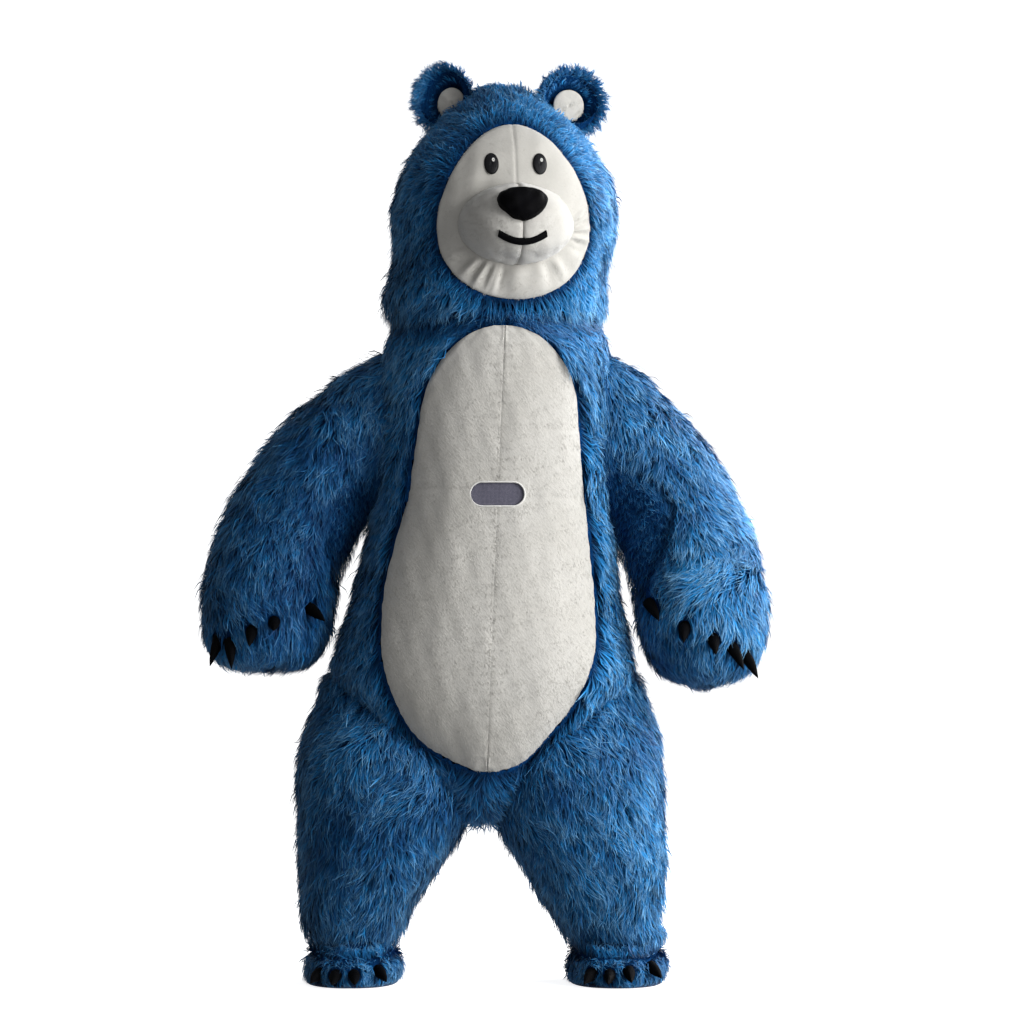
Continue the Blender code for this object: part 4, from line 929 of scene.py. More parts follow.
def crease_depth(form, points):
    """How far the cloth of this form dips in at each point."""
    dip = np.zeros(len(points))
    flat, z = points[:, [0, 2]], points[:, 2]
    for of, side, path, width, depth in CREASES:
        if of == form:
            path = np.array(path) + SHIFT[[0, 2]]
            gaps = [np.linalg.norm(off_edge(flat, a, b), axis=1) for a, b in zip(path, path[1:])]
            far = np.min(gaps, axis=0)
            on = (points[:, 1] - SHIFT[1]) * side > -0.02
            dip = np.maximum(dip, depth * bell(far, width) * on)
    if form == "torso":
        front = fade(-(points[:, 1] - SHIFT[1]) / 0.30)
        dip += (0.006 + 0.016 * front) * bell(z - 2.165, 0.045)
        dip -= 0.022 * fade(2 * front) * fade((0.70 - z) / 0.08)
    if form == "head":
        dip -= 0.010 * bell(z - 2.245, 0.040)
        dip += 0.010 * bell(z - 2.190, 0.020)
    if form.startswith("leg"):
        dip += 0.016 * bell(z - 0.150, 0.022)
    if form.startswith("foot"):
        dip += 0.014 * bell(z - 0.138, 0.018)
    dip += 0.004 * wave_field(points, 0.22, 11) + 0.0025 * wave_field(points, 0.09, 12)
    if form in ("torso", "head"):
        far, _, front = panel_edge(form, points)
        under = fade((PANEL_TUCK - far) / PANEL_TUCK) * front
        dip = dip * (1 - under) + under * np.maximum(dip, 0.010)
    return dip


def piece_of(form, r, points):
    """The cut piece that each point of a form belongs to, by its node's name."""
    kind, _, side = form.partition("_")
    in_front = points[:, 1] < SHIFT[1]
    if kind == "torso":
        halves = [np.where(beside_seam(points) < 0, f"torso_{half}_left", f"torso_{half}_right")
                  for half in ("front", "back")]
        return np.where(in_front, *halves)
    if kind == "head":
        return np.where(face_coordinates(points)[0] < 0, "head_left", "head_right")
    if kind == "leg":
        return np.where(in_front, f"leg_front_{side}", f"leg_back_{side}")
    if kind == "arm":
        return np.where(r < ELBOW * FORMS[form].steps, f"upper_arm_{side}", f"forearm_{side}")
    return np.full(len(points), form)


NEIGHBOURS = {
    "torso": ("arm_left", "arm_right", "leg_left", "leg_right"),
    "arm": ("torso",), "leg": ("torso",), "head": (), "foot": (), "ear": ("head",),
}
TREES = {name: form.tree(BACKING_DEPTH, 2, 4) for name, form in FORMS.items()}


def open_places(form, points, margin):
    """Where this form has no cloth of its own: panels let in, holes into its neighbours."""
    gone = np.zeros(len(points), bool)
    if form in ("torso", "head"):
        far, _, front = panel_edge(form, points)
        gone |= (far < -margin) & front
    if form == "torso":
        _, y, z = points.T
        in_zip = (np.abs(beside_seam(points)) < TAPE_HALF_WIDTH - margin) & (z > ZIP_BOTTOM) & (z < TAPE_TOP)
        gone |= in_zip & (y > SHIFT[1] + TORSO_FACES)
    for other in NEIGHBOURS[form.split("_")[0]]:
        low, high = FORMS[other].point.min(axis=(0, 1)), FORMS[other].point.max(axis=(0, 1))
        for i in np.flatnonzero(((points > low) & (points < high)).all(axis=1) & ~gone):
            near, normal, _, _ = TREES[other].find_nearest(points[i])
            gone[i] = (Vector(points[i]) - near).dot(normal) < -margin
    return gone


def build_backing(form):
    """The backing cloth of a form's pieces: thin creased shells, open where panels are let in."""
    shape = FORMS[form]
    lengths = [np.linalg.norm(np.diff(shape.point, axis=k), axis=2).sum(axis=k).max() for k in (0, 1)]
    high = max(8, int(lengths[0] / BACKING_CELL))
    wide = max(24, int(lengths[1] / BACKING_CELL))
    wide += wide % 2
    r = np.linspace(0, shape.rows - 1.01, high)
    point, normal = shape.at(*np.meshgrid(r, np.arange(wide) * shape.columns / wide, indexing="ij"))
    flat = point.reshape(-1, 3)
    flat = flat - normal.reshape(-1, 3) * (BACKING_DEPTH + crease_depth(form, flat))[:, None]
    grid = flat.reshape(high, wide, 3)
    if form.startswith("leg"):
        grid[0, :, 2] = ANKLE_Z - 0.006
    if form.startswith("foot"):
        grid[-1, :, 2] = ANKLE_Z + 0.003
    quads = ring_quads(high, wide)
    middle = flat[quads].mean(axis=1)
    gone = open_places(form, middle, 0.006)
    names = piece_of(form, np.repeat((r[:-1] + r[1:]) / 2, wide), middle)
    made = {}
    for name in np.unique(names):
        used, back = np.unique(quads[(names == name) & ~gone], return_inverse=True)
        obj = plain_object("cloth_" + name, flat[used], back.reshape(-1, 4), "backing")
        thick = obj.modifiers.new("Thickness", "SOLIDIFY")
        thick.thickness = BACKING_THICKNESS
        thick.offset = -1
        own = (names == name).reshape(-1, wide)
        rows_in = np.flatnonzero(own.any(axis=1))
        length = float(np.linalg.norm(np.diff(grid[rows_in], axis=0), axis=2).sum(axis=0).max())
        loops = np.linalg.norm(np.roll(grid, -1, axis=1) - grid, axis=2)[rows_in]
        width = float((loops * own[rows_in]).sum(axis=1).max())
        made[name] = (obj, (round(width, 3), round(length, 3)))
    return made


# Claws

def claw_lines():
    """Centre line of each claw, from its root in the paw out to its tip."""
    lines = {}
    share = np.linspace(0, 1, CLAW_STATIONS)[:, None]
    for limb, form, table in (("hand", "arm", HAND_CLAWS), ("foot", "foot", FOOT_CLAWS)):
        for side, claws in table.items():
            tree = FORMS[f"{form}_{side}"].tree(0)
            for i, (x, z, aim) in enumerate(claws):
                hit = tree.ray_cast(Vector((x + SHIFT[0], -1.5, z)), Vector((0, 1, 0)))[0]
                if hit is None:
                    hit = tree.find_nearest(Vector((x + SHIFT[0], SHIFT[1] - 0.15, z)))[0]
                line = np.array(hit) + unit(np.array(aim)) * (share * (CLAW_ROOT + CLAW_OUT) - CLAW_ROOT)
                line[:, 2] -= CLAW_DROOP * share[:, 0] ** 2
                lines[f"claw_{limb}_{side}_{i + 1}"] = line
    return lines


CLAW_LINES = claw_lines()
CLAW_SHARE = np.linspace(0, 1, CLAW_STATIONS)
CLAW_RADII = CLAW_RADIUS * (1 - CLAW_SHARE**CLAW_TAPER)


def clear_of_claws(points):
    """False for a lock that any of these points brings inside a claw."""
    clear = np.ones(len(points[0]), bool)
    for line in CLAW_LINES.values():
        for p in points:
            near = np.flatnonzero(np.linalg.norm(p - line[CLAW_STATIONS // 2], axis=1) < CLAW_REACH)
            off = np.linalg.norm(p[near, None] - line[None], axis=2)
            clear[near[(off < CLAW_RADII + CLAW_ROOM).any(axis=1)]] = False
    return clear


# Fur

def swirl_of(points):
    """The band across the right forearm where the pile is brushed sideways."""
    band = bell(points[:, 2] - 1.340 - 0.15 * (points[:, 0] - 0.70), 0.060)
    return band * (points[:, 1] < SHIFT[1] - 0.02) * fade((points[:, 0] - 0.54) / 0.05)


def flow_of(form, points, normals, down):
    """The way the pile lies at each point."""
    pull = np.array((0.0, 0.0, -1.0))
    x, _, z = points.T
    if form == "torso":
        beside = beside_seam(points)
        low = fade((0.74 - z) / 0.14)
        spread = 0.25 * np.tanh(beside / 0.2) + 1.1 * low * np.tanh(beside / 0.05)
        way = np.stack([spread, 0 * x, np.full(len(x), -1.0)], axis=1)
    elif form == "head":
        u, w, d = face_coordinates(points)
        radial = unit(np.outer(u, FACE_SIDE) + np.outer(w + 0.04, (0, 0, 1)))
        heavy = fade((2.80 - z) / 0.25) * 0.8 + 0.05
        front = fade((d + 0.05) / 0.2)
        way = radial * front[:, None] + pull * (heavy + (1 - front) * 0.8)[:, None]
        way += -0.35 * FACE_OUT * fade((w - 0.15) / 0.2)[:, None]
    elif form.startswith("arm"):
        way = 0.55 * unit(down) + 0.75 * pull
        if form == "arm_right":
            way = way + swirl_of(points)[:, None] * np.array((-2.1, 0, 0.35))
    elif form.startswith("foot"):
        up = fade((z - FOOT_TOP) / 0.016)[:, None]
        way = pull * (0.7 - 1.7 * up) + normals * 0.2 + np.array((0, -0.35, 0)) * (1 - up)
    elif form.startswith("ear"):
        way = unit(down) + 0.25 * pull
    else:
        outward = np.sign(x) * fade((z - 0.15) / 0.4) * 0.35
        way = pull + outward[:, None] * np.array((1.0, 0, 0))
    return unit(across(way, normals))


def group_mean(values, group):
    count = np.maximum(np.bincount(group), 1)
    return np.stack([np.bincount(group, values[:, k]) / count for k in range(3)], axis=1)[group]


def grow_locks(kind, seed, roots, normals, way, bend, clump, length_share, tone_and_painted_light_shift):
    """Arrays of points, triangles, UVs and normals for tapering locks of pile."""
    rng = np.random.default_rng(seed)
    count = len(roots)
    long, lift, _, wide = PILE[kind]
    group = np.unique(clump, return_inverse=True)[1]
    per_clump = rng.normal(size=(group.max() + 1, 4))
    angle = (
        0.40 * wave_field(roots, 0.30, seed + 1) + 0.34 * wave_field(roots, 0.10, seed + 2)
        + 0.16 * per_clump[group, 0] + 0.13 * rng.normal(size=count)
    )
    angle *= 0.35 + 0.65 * fade(length_share)
    if kind == "ear":
        angle *= 0.55
    way = turned(way, normals, angle)
    vary = np.clip(1 + 0.16 * rng.normal(size=count) + 0.10 * per_clump[group, 1], 0.45, 1.5)
    length = long * length_share * vary
    stray = rng.random(count) < 0.07
    vary = np.clip(1 + 0.16 * rng.normal(size=count) + 0.12 * per_clump[group, 2], 0.5, 1.45)
    height = lift * np.sqrt(length_share) * vary
    height = np.where(stray, height * 1.50, height)
    if kind == "head":
        fringe = fade((2.32 - roots[:, 2]) / 0.10)
        height = height + 0.016 * fringe
        length = length * (1 + 0.35 * fringe)
    side = np.cross(way, normals)
    gathered = across(0.50 * (group_mean(roots, group) - roots), normals)
    curl = 0.0060 * rng.normal(size=count) + 0.0040 * wave_field(roots, 0.05, seed + 4)
    bend = np.clip(bend, -2.0, 6.0)
    points = []
    for t in LOCK_LEVELS:
        x = length * t
        rise = height * (1 - (1 - t) ** 1.9) - 0.5 * bend * x**2
        p = (
            roots + way * (x * (1 - 0.08 * t))[:, None] + normals * rise[:, None]
            + gathered * (t**1.4) * np.where(stray, 0.2, 1.0)[:, None]
            + side * (curl * math.sin(math.pi * t * 1.3))[:, None]
        )
        p[:, 2] = np.maximum(p[:, 2] - 0.006 * t**2, FLOOR_CLEAR)
        points.append(p)
    if kind in ("arm", "foot"):
        root, bow, tip = points
        clear = clear_of_claws([0.5 * (root + bow), bow, 0.5 * (bow + tip), tip])
        points = [p[clear] for p in points]
        kept = (group, normals, way, side, length_share, tone_and_painted_light_shift)
        group, normals, way, side, length_share, tone_and_painted_light_shift = (a[clear] for a in kept)
        count = len(group)
    width = wide * np.clip(1 + 0.3 * rng.normal(size=count), 0.45, 1.8) * np.clip(length_share, 0.6, 1)
    flat = unit(side + normals * (0.45 * rng.normal(size=count))[:, None])
    verts = np.empty((count, 5, 3))
    for k, level in enumerate(LOCK_WIDTHS):
        half = (0.5 * width * level)[:, None]
        verts[:, 2 * k] = points[k] - flat * half
        verts[:, 2 * k + 1] = points[k] + flat * half
    verts[:, 4] = points[2]
    tris = np.array([(0, 1, 3), (0, 3, 2), (2, 3, 4)])
    faces = ((np.arange(count) * 5)[:, None, None] + tris[None]).reshape(-1, 3)
    # The lock's tone: random by clump and by lock, plus the painted light and shade passed in.
    tone = (
        0.36 + tone_and_painted_light_shift + 0.12 * per_clump[group, 3] + 0.10 * rng.normal(size=count)
        + 0.34 * (rng.random(count) < 0.11)
    )
    uv = np.empty((count, 5, 2))
    uv[:, :, 0] = np.clip(tone, 0.03, 0.97)[:, None] + np.array((0, 0.006, 0, 0.006, 0))
    uv[:, :, 1] = (0.03, 0.03, 0.50, 0.50, 0.97)
    own = unit(np.cross(flat, -way))
    soft = unit(0.80 * normals + 0.24 * own + 0.13 * rng.normal(size=(count, 3)))
    shading = np.empty((count, 5, 3))
    for k, t in enumerate((0, 0, 0.5, 0.5, 1.0)):
        shading[:, k] = unit(soft + way * (0.35 * t - 0.10))
    return verts.reshape(-1, 3), faces, uv.reshape(-1, 2), shading.reshape(-1, 3)


def short_places(form, points):
    """1 where the pile is long, less where it is short: the inner elbows, where this share also sets painted
    shade on the pile.
    """
    share = np.ones(len(points))
    for place, x0, z0, half_width, half_height, lean, least in SHORT_PLACES:
        if place == form:
            x = points[:, 0] - SHIFT[0] - x0 + lean * (points[:, 2] - z0)
            off = np.sqrt((x / half_width) ** 2 + ((points[:, 2] - z0) / half_height) ** 2)
            share = np.minimum(share, least + (1 - least) * fade((off - 0.55) / 0.75))
    return share


def edge_rules(form, roots, way, long):
    """The way bent, and the length left, where pile would hang over a panel that is let in."""
    share = np.ones(len(roots))
    z = roots[:, 2]
    if form == "torso":
        far, out, front = panel_edge(form, roots)
        toward = -(way[:, 0] * out[:, 0] + way[:, 2] * out[:, 1])
        bent = way.copy()
        bent[:, 0] += out[:, 0] * toward * 0.9
        bent[:, 2] += out[:, 1] * toward * 0.9
        way = np.where((front & (far < long) & (toward > 0))[:, None], unit(bent), way)
        toward = np.clip(-(way[:, 0] * out[:, 0] + way[:, 2] * out[:, 1]), 0.05, 1)
        share = np.where(front & (far < long), np.clip((far - 0.003) / toward / long, 0.06, 1), share)
        back = roots[:, 1] > SHIFT[1] + TORSO_FACES
        beside = beside_seam(roots)
        at_zip = back & (z > ZIP_BOTTOM - 0.01) & (np.abs(beside) - TAPE_HALF_WIDTH < 0.05)
        bent = way.copy()
        bent[:, 0] = np.abs(bent[:, 0]) * np.sign(beside) + 0.15 * np.sign(beside)
        way = np.where(at_zip[:, None], unit(bent), way)
        above = back & (np.abs(beside) < TAPE_HALF_WIDTH) & (z >= TAPE_TOP)
        share = np.where(above, np.clip((z - TAPE_TOP + 0.004) / long, 0.10, 1) * share, share)
        share = share * (1 + 0.30 * fade((0.70 - z) / 0.12))
        share = share * (1 - 0.35 * bell(z - 2.17, 0.05))
    if form == "head":
        far, _, front = panel_edge(form, roots)
        share = np.where(front & (far < 0.03), 0.55 + 0.45 * fade(far / 0.03), share)
    if form.startswith("foot"):
        share = share * (1 - 0.35 * fade((z - FOOT_TOP) / 0.016))
    if form.startswith("leg"):
        share = share * (1 - 0.15 * fade((0.28 - z) / 0.12))
    return way, share


def tone_and_painted_light(form, points, normals, share):
    """Tone of each lock: random patches, with painted shade in short pile, creases and shaded places, and
    painted light on lit sides.
    """
    x, y, z = points.T
    # Painted shade: darker where the pile is short, as at the inner elbows, the neck, the ankles and the
    # panels' edges.
    shift = -0.28 * fade(1 - share) ** 1.3
    # Painted shade in the creases and dips of the cloth.
    shift -= 10.0 * np.clip(crease_depth(form, points) - 0.005, 0, 0.026)
    shift += 0.10 * wave_field(points, 0.50, 21) + 0.09 * wave_field(points, 0.16, 22)
    if form == "torso":
        beside = beside_seam(points)
        # Painted light on the torso's sides, most on the right.
        shift += 0.12 * fade((-beside - 0.1) / 0.2) + 0.18 * fade((beside - 0.1) / 0.2)
        # Painted light over the shade at the front between the legs.
        shift += 0.16 * fade((0.76 - z) / 0.15) * (y < 0)
        # Painted shade on the chest under the head.
        shift -= 0.24 * bell(fade(2.17 - z), 0.085)
    if form == "head":
        # Painted light on the head's lower fringe.
        shift += 0.10 * bell(z - 2.27, 0.05)
        # Painted light on the head's sides, most on the right.
        shift += 0.24 * fade((x - 0.12) / 0.2) + 0.10 * fade((-0.1 - x) / 0.2)
    if form.startswith("leg"):
        # Painted shade on the left leg.
        shift -= 0.09 * (x < 0)
    if form.startswith("arm"):
        # Painted shade on the arms' inner sides, facing the body.
        shift -= 0.20 * fade(-normals[:, 0] * np.sign(x))
        # The lower arms lighter.
        shift += 0.08 * fade((1.55 - z) / 0.3)
        # Painted highlight on the right forearm's swirl; painted shade over the whole left arm.
        shift += 0.16 * swirl_of(points) if form == "arm_right" else -0.17
    return shift


def build_fur(form, seed):
    """The fur of a form's pieces, by their nodes' names."""
    shape = FORMS[form]
    kind = form.split("_")[0]
    long, _, density, _ = PILE[kind]
    r, m = shape.scatter(int(shape.area.sum() / 2 * density), np.random.default_rng(seed))
    point, normal = shape.at(r, m)
    down, around = read_grid(shape.down, r, m), read_grid(shape.round, r, m)
    roots = point - normal * (BACKING_DEPTH + crease_depth(form, point))[:, None]
    gone = open_places(form, roots, 0.001 if form in ("torso", "head") else 0.012)
    if form == "torso":
        far, _, front = panel_edge(form, roots)
        gone |= (far < 0.005) & front
    fields = (r, m, point, normal, down, around, roots)
    r, m, point, normal, down, around, roots = (field[~gone] for field in fields)
    way, share = edge_rules(form, roots, flow_of(form, point, normal, down), long)
    share = share * short_places(form, point)
    ahead = np.sum(way * down, axis=1) / np.maximum(np.sum(down * down, axis=1), 1e-8)
    aside = np.sum(way * around, axis=1) / np.maximum(np.sum(around * around, axis=1), 1e-8)
    on = shape.at(r + np.clip(ahead * BEND_STEP, -8, 8), m + np.clip(aside * BEND_STEP, -8, 8))[1]
    bend = np.sum((on - normal) * way, axis=1) / BEND_STEP
    warp = wave_field(point, 0.05, seed + 5) * 0.010
    a = np.floor((r * np.linalg.norm(down, axis=1).mean() + warp) / CLUMP_LENGTH).astype(int)
    col_size = np.linalg.norm(around, axis=1).mean()
    b = np.floor((m * col_size + 1.3 * warp) / CLUMP_WIDTH + 0.5 * (a % 2)).astype(int)
    fields = (roots, normal, way, bend, a * 100000 + b, share, tone_and_painted_light(form, point, normal, share))
    names = piece_of(form, r, point)
    made = {}
    for i, name in enumerate(np.unique(names)):
        own = names == name
        points, faces, uv, normals = grow_locks(kind, seed + 20 * i, *(field[own] for field in fields))
        made[name] = soup("fur_" + name, points, faces, "fur", uv, normals)
    return made


# The piece that each fur cloth is sewn to
BESIDE = {
    "torso_front": "torso_back", "torso_back": "torso_front", "head": "torso_front", "ear": "head",
    "leg_front": "torso_front", "leg_back": "torso_back", "foot": "sole",
    "upper_arm": "torso_front", "forearm": "upper_arm",
}

for number, form in enumerate(FORMS):
    cloth = build_backing(form)
    fur = build_fur(form, 100 + 37 * number)
    for name, (obj, size) in cloth.items():
        stem, _, side = name.rpartition("_")
        dress(
            name, "blue_fur", obj, fur[name],
            flat=size, held="stretched", rests_on=[f"{BESIDE[stem]}_{side}"],
            area=fair_area(mesh_area(obj), size),
        )


# The pale pieces

def grow_tufts(name, points, normals, way, length, seed, rows_of=0.0):
    """Short nap as single-triangle tufts lying over the cloth."""
    rng = np.random.default_rng(seed)
    count = len(points)
    way = unit(across(way, normals))
    way = turned(way, normals, 0.20 * rng.normal(size=count) + 0.14 * wave_field(points, 0.10, seed + 1))
    side = np.cross(way, normals)
    long = length * np.clip(1 + 0.25 * rng.normal(size=count), 0.5, 1.6)
    half = 0.0011 * np.clip(1 + 0.3 * rng.normal(size=count), 0.5, 1.6)
    verts = np.empty((count, 3, 3))
    verts[:, 0] = points - side * half[:, None] - normals * 0.0006
    verts[:, 1] = points + side * half[:, None] - normals * 0.0006
    verts[:, 2] = points + way * long[:, None] + normals * (0.0012 + 0.0005 * rng.random(count))[:, None]
    tone = 0.5 + 0.12 * rng.normal(size=count) + 0.08 * wave_field(points, 0.06, seed + 2) + 0.44 * rows_of
    uv = np.empty((count, 3, 2))
    uv[:, :, 0] = np.clip(tone, 0.03, 0.96)[:, None] + np.array((0, 0.008, 0.004))
    uv[:, :, 1] = (0.03, 0.03, 0.97)
    faces = np.arange(3 * count).reshape(count, 3)
    soft = unit(normals + 0.09 * rng.normal(size=(count, 3)))
    return soup(name, verts.reshape(-1, 3), faces, "tufts", uv.reshape(-1, 2), np.repeat(soft, 3, axis=0))


# Soft folds that run in from the belly's edge: side, z, reach
BELLY_FOLDS = [(1, 1.578, 0.20), (-1, 1.600, 0.14), (1, 1.800, 0.10), (1, 1.730, 0.08), (-1, 1.240, 0.12)]


def belly_height(x, z):
    """How far the belly cloth stands out of its even curve: edge tucked in, seam sunk, soft folds."""
    points = np.stack([x, 0 * x, z], axis=-1)
    far = -outline_distance(points.reshape(-1, 3)[:, [0, 2]], BELLY_LOOP)[0].reshape(x.shape)
    far = np.maximum(far, 0)
    beside = x - seam_x(z)
    from_seam = np.abs(beside)
    height = 0.0050 * (1 - np.exp(-far / 0.040)) - 0.0030 * np.exp(-far / 0.006)
    height += 0.0020 * bell(from_seam - 0.0040, 0.0030) - 0.0016 * bell(from_seam, 0.0016)
    height += 0.0012 * np.sin(2 * math.pi * z / 0.034 + 1.2 * np.sin(z * 19)) * np.exp(-from_seam / 0.028)
    height += 0.0030 * wave_field(points * (1, 1, 0.55), 0.20, 31) + 0.0012 * wave_field(points, 0.075, 32)
    for side, fold_z, reach in BELLY_FOLDS:
        edge = np.exp(-far / reach) * (side * beside > 0.05)
        height -= 0.0022 * edge * bell(z - fold_z + 0.10 * side * beside**2, 0.009)
    return height + 0.0013 * np.sin(2 * math.pi * (z * 0.8 + np.abs(x)) / 0.042) * np.exp(-far / 0.03)


def on_belly(x, z):
    point, normal = FORMS["torso"].on_side(x, z, NAP_DEPTH, -1)
    return point + normal * belly_height(x, z)[..., None], normal


def cut_window(obj):
    """A hole for the window, through the belly cloth alone."""
    bm = bmesh.new()
    rings = [[bm.verts.new((x, y, z)) for x, z in WINDOW_LOOP] for y in (-1.2, -0.1)]
    count = len(WINDOW_LOOP)
    for j in range(count):
        k = (j + 1) % count
        bm.faces.new((rings[0][j], rings[0][k], rings[1][k], rings[1][j]))
    for ring in rings:
        bm.faces.new(ring)
    cutter = bpy.data.objects.new("window_cutter", finished(bm, "window_cutter"))
    bpy.context.scene.collection.objects.link(cutter)
    cut = obj.modifiers.new("Window", "BOOLEAN")
    cut.object, cut.operation, cut.solver = cutter, "DIFFERENCE", "EXACT"
    bpy.context.view_layer.update()
    made = bpy.data.meshes.new_from_object(obj.evaluated_get(bpy.context.evaluated_depsgraph_get()))
    obj.modifiers.clear()
    obj.data = made
    made.shade_smooth()
    made.set_sharp_from_angle(angle=math.radians(50))
    bpy.data.objects.remove(cutter, do_unlink=True)


def belly_tufts(tag, side, area):
    rng = np.random.default_rng(900 + side)
    count = int(area * TUFTS_PER_SQUARE_METRE * 1.9)
    x = rng.uniform(-0.34, 0.37, count) + SHIFT[0]
    z = rng.uniform(BELLY_BOTTOM, BELLY_TOP, count)
    places = np.stack([x, z], axis=1)
    inside = outline_distance(places, BELLY_LOOP)[0] < -0.003
    outside_window = outline_distance(places, WINDOW_LOOP)[0] > 0.006
    own = (x < seam_x(z) - 0.002) if side == 0 else (x > seam_x(z) + 0.002)
    x, z = places[inside & outside_window & own].T
    points, normals = on_belly(x, z)
    way = np.tile((0.55, 0.0, -1.0), (len(x), 1))
    ribs = np.sin(2 * math.pi * (x * 0.80 + z * 0.60) / 0.0115 + 0.8 * wave_field(points, 0.12, 77))
    return grow_tufts(f"nap_belly_{tag}", points, normals, way, 0.0085, 910 + side, ribs)


def build_belly():
    rows = smoothed(BELLY, 7)
    share = np.linspace(0, 1, 30)
    for side, tag in enumerate(EARS):
        z = np.repeat(rows[:, :1], len(share), axis=1)
        middle = seam_x(z) + (-0.00015, 0.00015)[side]
        edge = rows[:, 1 + side][:, None] + SHIFT[0]
        x = edge + (middle - edge) * share if side == 0 else middle + (edge - middle) * share
        outer, normal = on_belly(x, z)
        obj = patch(f"cloth_belly_{tag}", [outer, outer - normal * NAP], "belly_nap")
        cut_window(obj)
        flat, area = flat_cut(outer)
        dress(
            f"belly_{tag}", "pale_nap", obj, belly_tufts(tag, side, area),
            flat=flat, held="stretched", rests_on=[f"torso_front_{tag}"], area=area,
        )


def tube(name, path, radius, sides, material):
    """A round piping along a closed line of points."""
    count = len(path)
    along = unit(np.roll(path, -1, axis=0) - np.roll(path, 1, axis=0))
    side = unit(np.cross(along, (0.0, -1.0, 0.0)))
    out = np.cross(side, along)
    angle = turns(sides)
    radius = np.broadcast_to(radius, count)[:, None, None]
    grid = path[:, None] + radius * (
        np.cos(angle)[None, :, None] * side[:, None] + np.sin(angle)[None, :, None] * out[:, None]
    )
    index = np.arange(count * sides).reshape(count, sides)
    nxt = np.roll(index, -1, axis=1)
    quads = np.stack([index, nxt, np.roll(nxt, -1, axis=0), np.roll(index, -1, axis=0)], axis=-1)
    return plain_object(name, grid, quads.reshape(-1, 4), material)


def on_window(flat):
    """Points of the net at these places, sunk toward its middle, and the way out."""
    point, normal = FORMS["torso"].on_side(flat[..., 0], flat[..., 1], NAP_DEPTH + 0.0010, -1)
    inward = -outline_distance(flat.reshape(-1, 2), WINDOW_LOOP)[0].reshape(flat.shape[:-1])
    sunk = WINDOW_SINK * (1 - (1 - fade(inward / WINDOW_HALF_HEIGHT)) ** 2)
    return point - normal * sunk[..., None], normal


def window_threads():
    """Threads of the net, over and under one another, along x and then along z."""
    low, high = WINDOW_LOOP.min(axis=0), WINDOW_LOOP.max(axis=0)
    verts, faces = [], []
    for along, stations in ((0, 60), (1, 28)):
        across_it = np.arange(low[1 - along] + THREAD_PITCH / 2, high[1 - along], THREAD_PITCH)
        for i, value in enumerate(across_it):
            line = np.full((stations, 2), value)
            line[:, along] = np.linspace(low[along], high[along], stations)
            line = line[outline_distance(line, WINDOW_LOOP)[0] < 0.001]
            if len(line) < 3:
                continue
            p, n = on_window(line)
            over = 0.0003 * np.cos(np.arange(len(line)) * math.pi + i * math.pi + along * math.pi)
            p = p + n * (0.0006 + over)[:, None]
            wide = 0.0007 * np.eye(3)[2 - 2 * along]
            at, k = len(verts), len(line)
            verts += [*(p - wide), *(p + wide)]
            faces += [(at + j, at + j + 1, at + k + j + 1, at + k + j) for j in range(k - 1)]
    return plain_object("window_threads", verts, faces, "thread")


def build_window():
    middle = WINDOW_LOOP.mean(axis=0)
    flat = middle + (WINDOW_LOOP - middle) * np.linspace(1.0, 0.004, 9)[:, None, None]
    point, normal = on_window(flat)
    sheet = patch("window_net", [point, point - normal * 0.0012], "net", wrap=True)
    straight = 4 * (WINDOW_HALF_WIDTH - WINDOW_HALF_HEIGHT) * WINDOW_HALF_HEIGHT
    dress(
        "window_mesh", "window_mesh", sheet, window_threads(),
        flat=(2 * WINDOW_HALF_WIDTH, 2 * WINDOW_HALF_HEIGHT), held="stretched",
        rests_on=["belly_left", "belly_right"], area=straight + math.pi * WINDOW_HALF_HEIGHT**2,
    )
    grown = stadium(0.002, 24)
    steps = np.linspace(0, 1, 9)[:-1]
    dense = np.concatenate([a + (b - a) * steps[:, None] for a, b in zip(grown, np.roll(grown, -1, axis=0))])
    keep = np.concatenate([[True], np.linalg.norm(np.diff(dense, axis=0), axis=1) > 1e-6])
    path, _ = FORMS["torso"].on_side(dense[keep, 0], dense[keep, 1], NAP_DEPTH - 0.0050, -1)
    radius = PIPING * 0.72 * (1 + 0.06 * wave_field(path, 0.012, 5))
    dress("window_piping", "white_piping", tube("piping", path[::2], radius[::2], 10, "piping"))


# Face

def gathers(angle, share):
    """Pleats of the face cloth, strongest at the cheeks and chin."""
    low = fade(0.15 - np.sin(angle) + 0.35 * np.cos(angle)) ** 0.8
    phase = 0.55 * GATHERS * angle + 1.9 * np.sin(3 * angle + 0.4) + 0.8 * np.sin(7 * angle + 1)
    fold = np.abs(np.cos(phase)) ** 1.5 * (0.65 + 0.35 * np.sin(2.7 * phase + 1.3 + 1.5 * share))
    fine = 0.22 * np.cos(2.3 * phase + 0.7 + 2.0 * share)
    profile = fade(share * 3.2) * fade((1.06 - share) * 2.2)
    return low * profile * (GATHER_HEIGHT * (fold + fine) - 0.005)


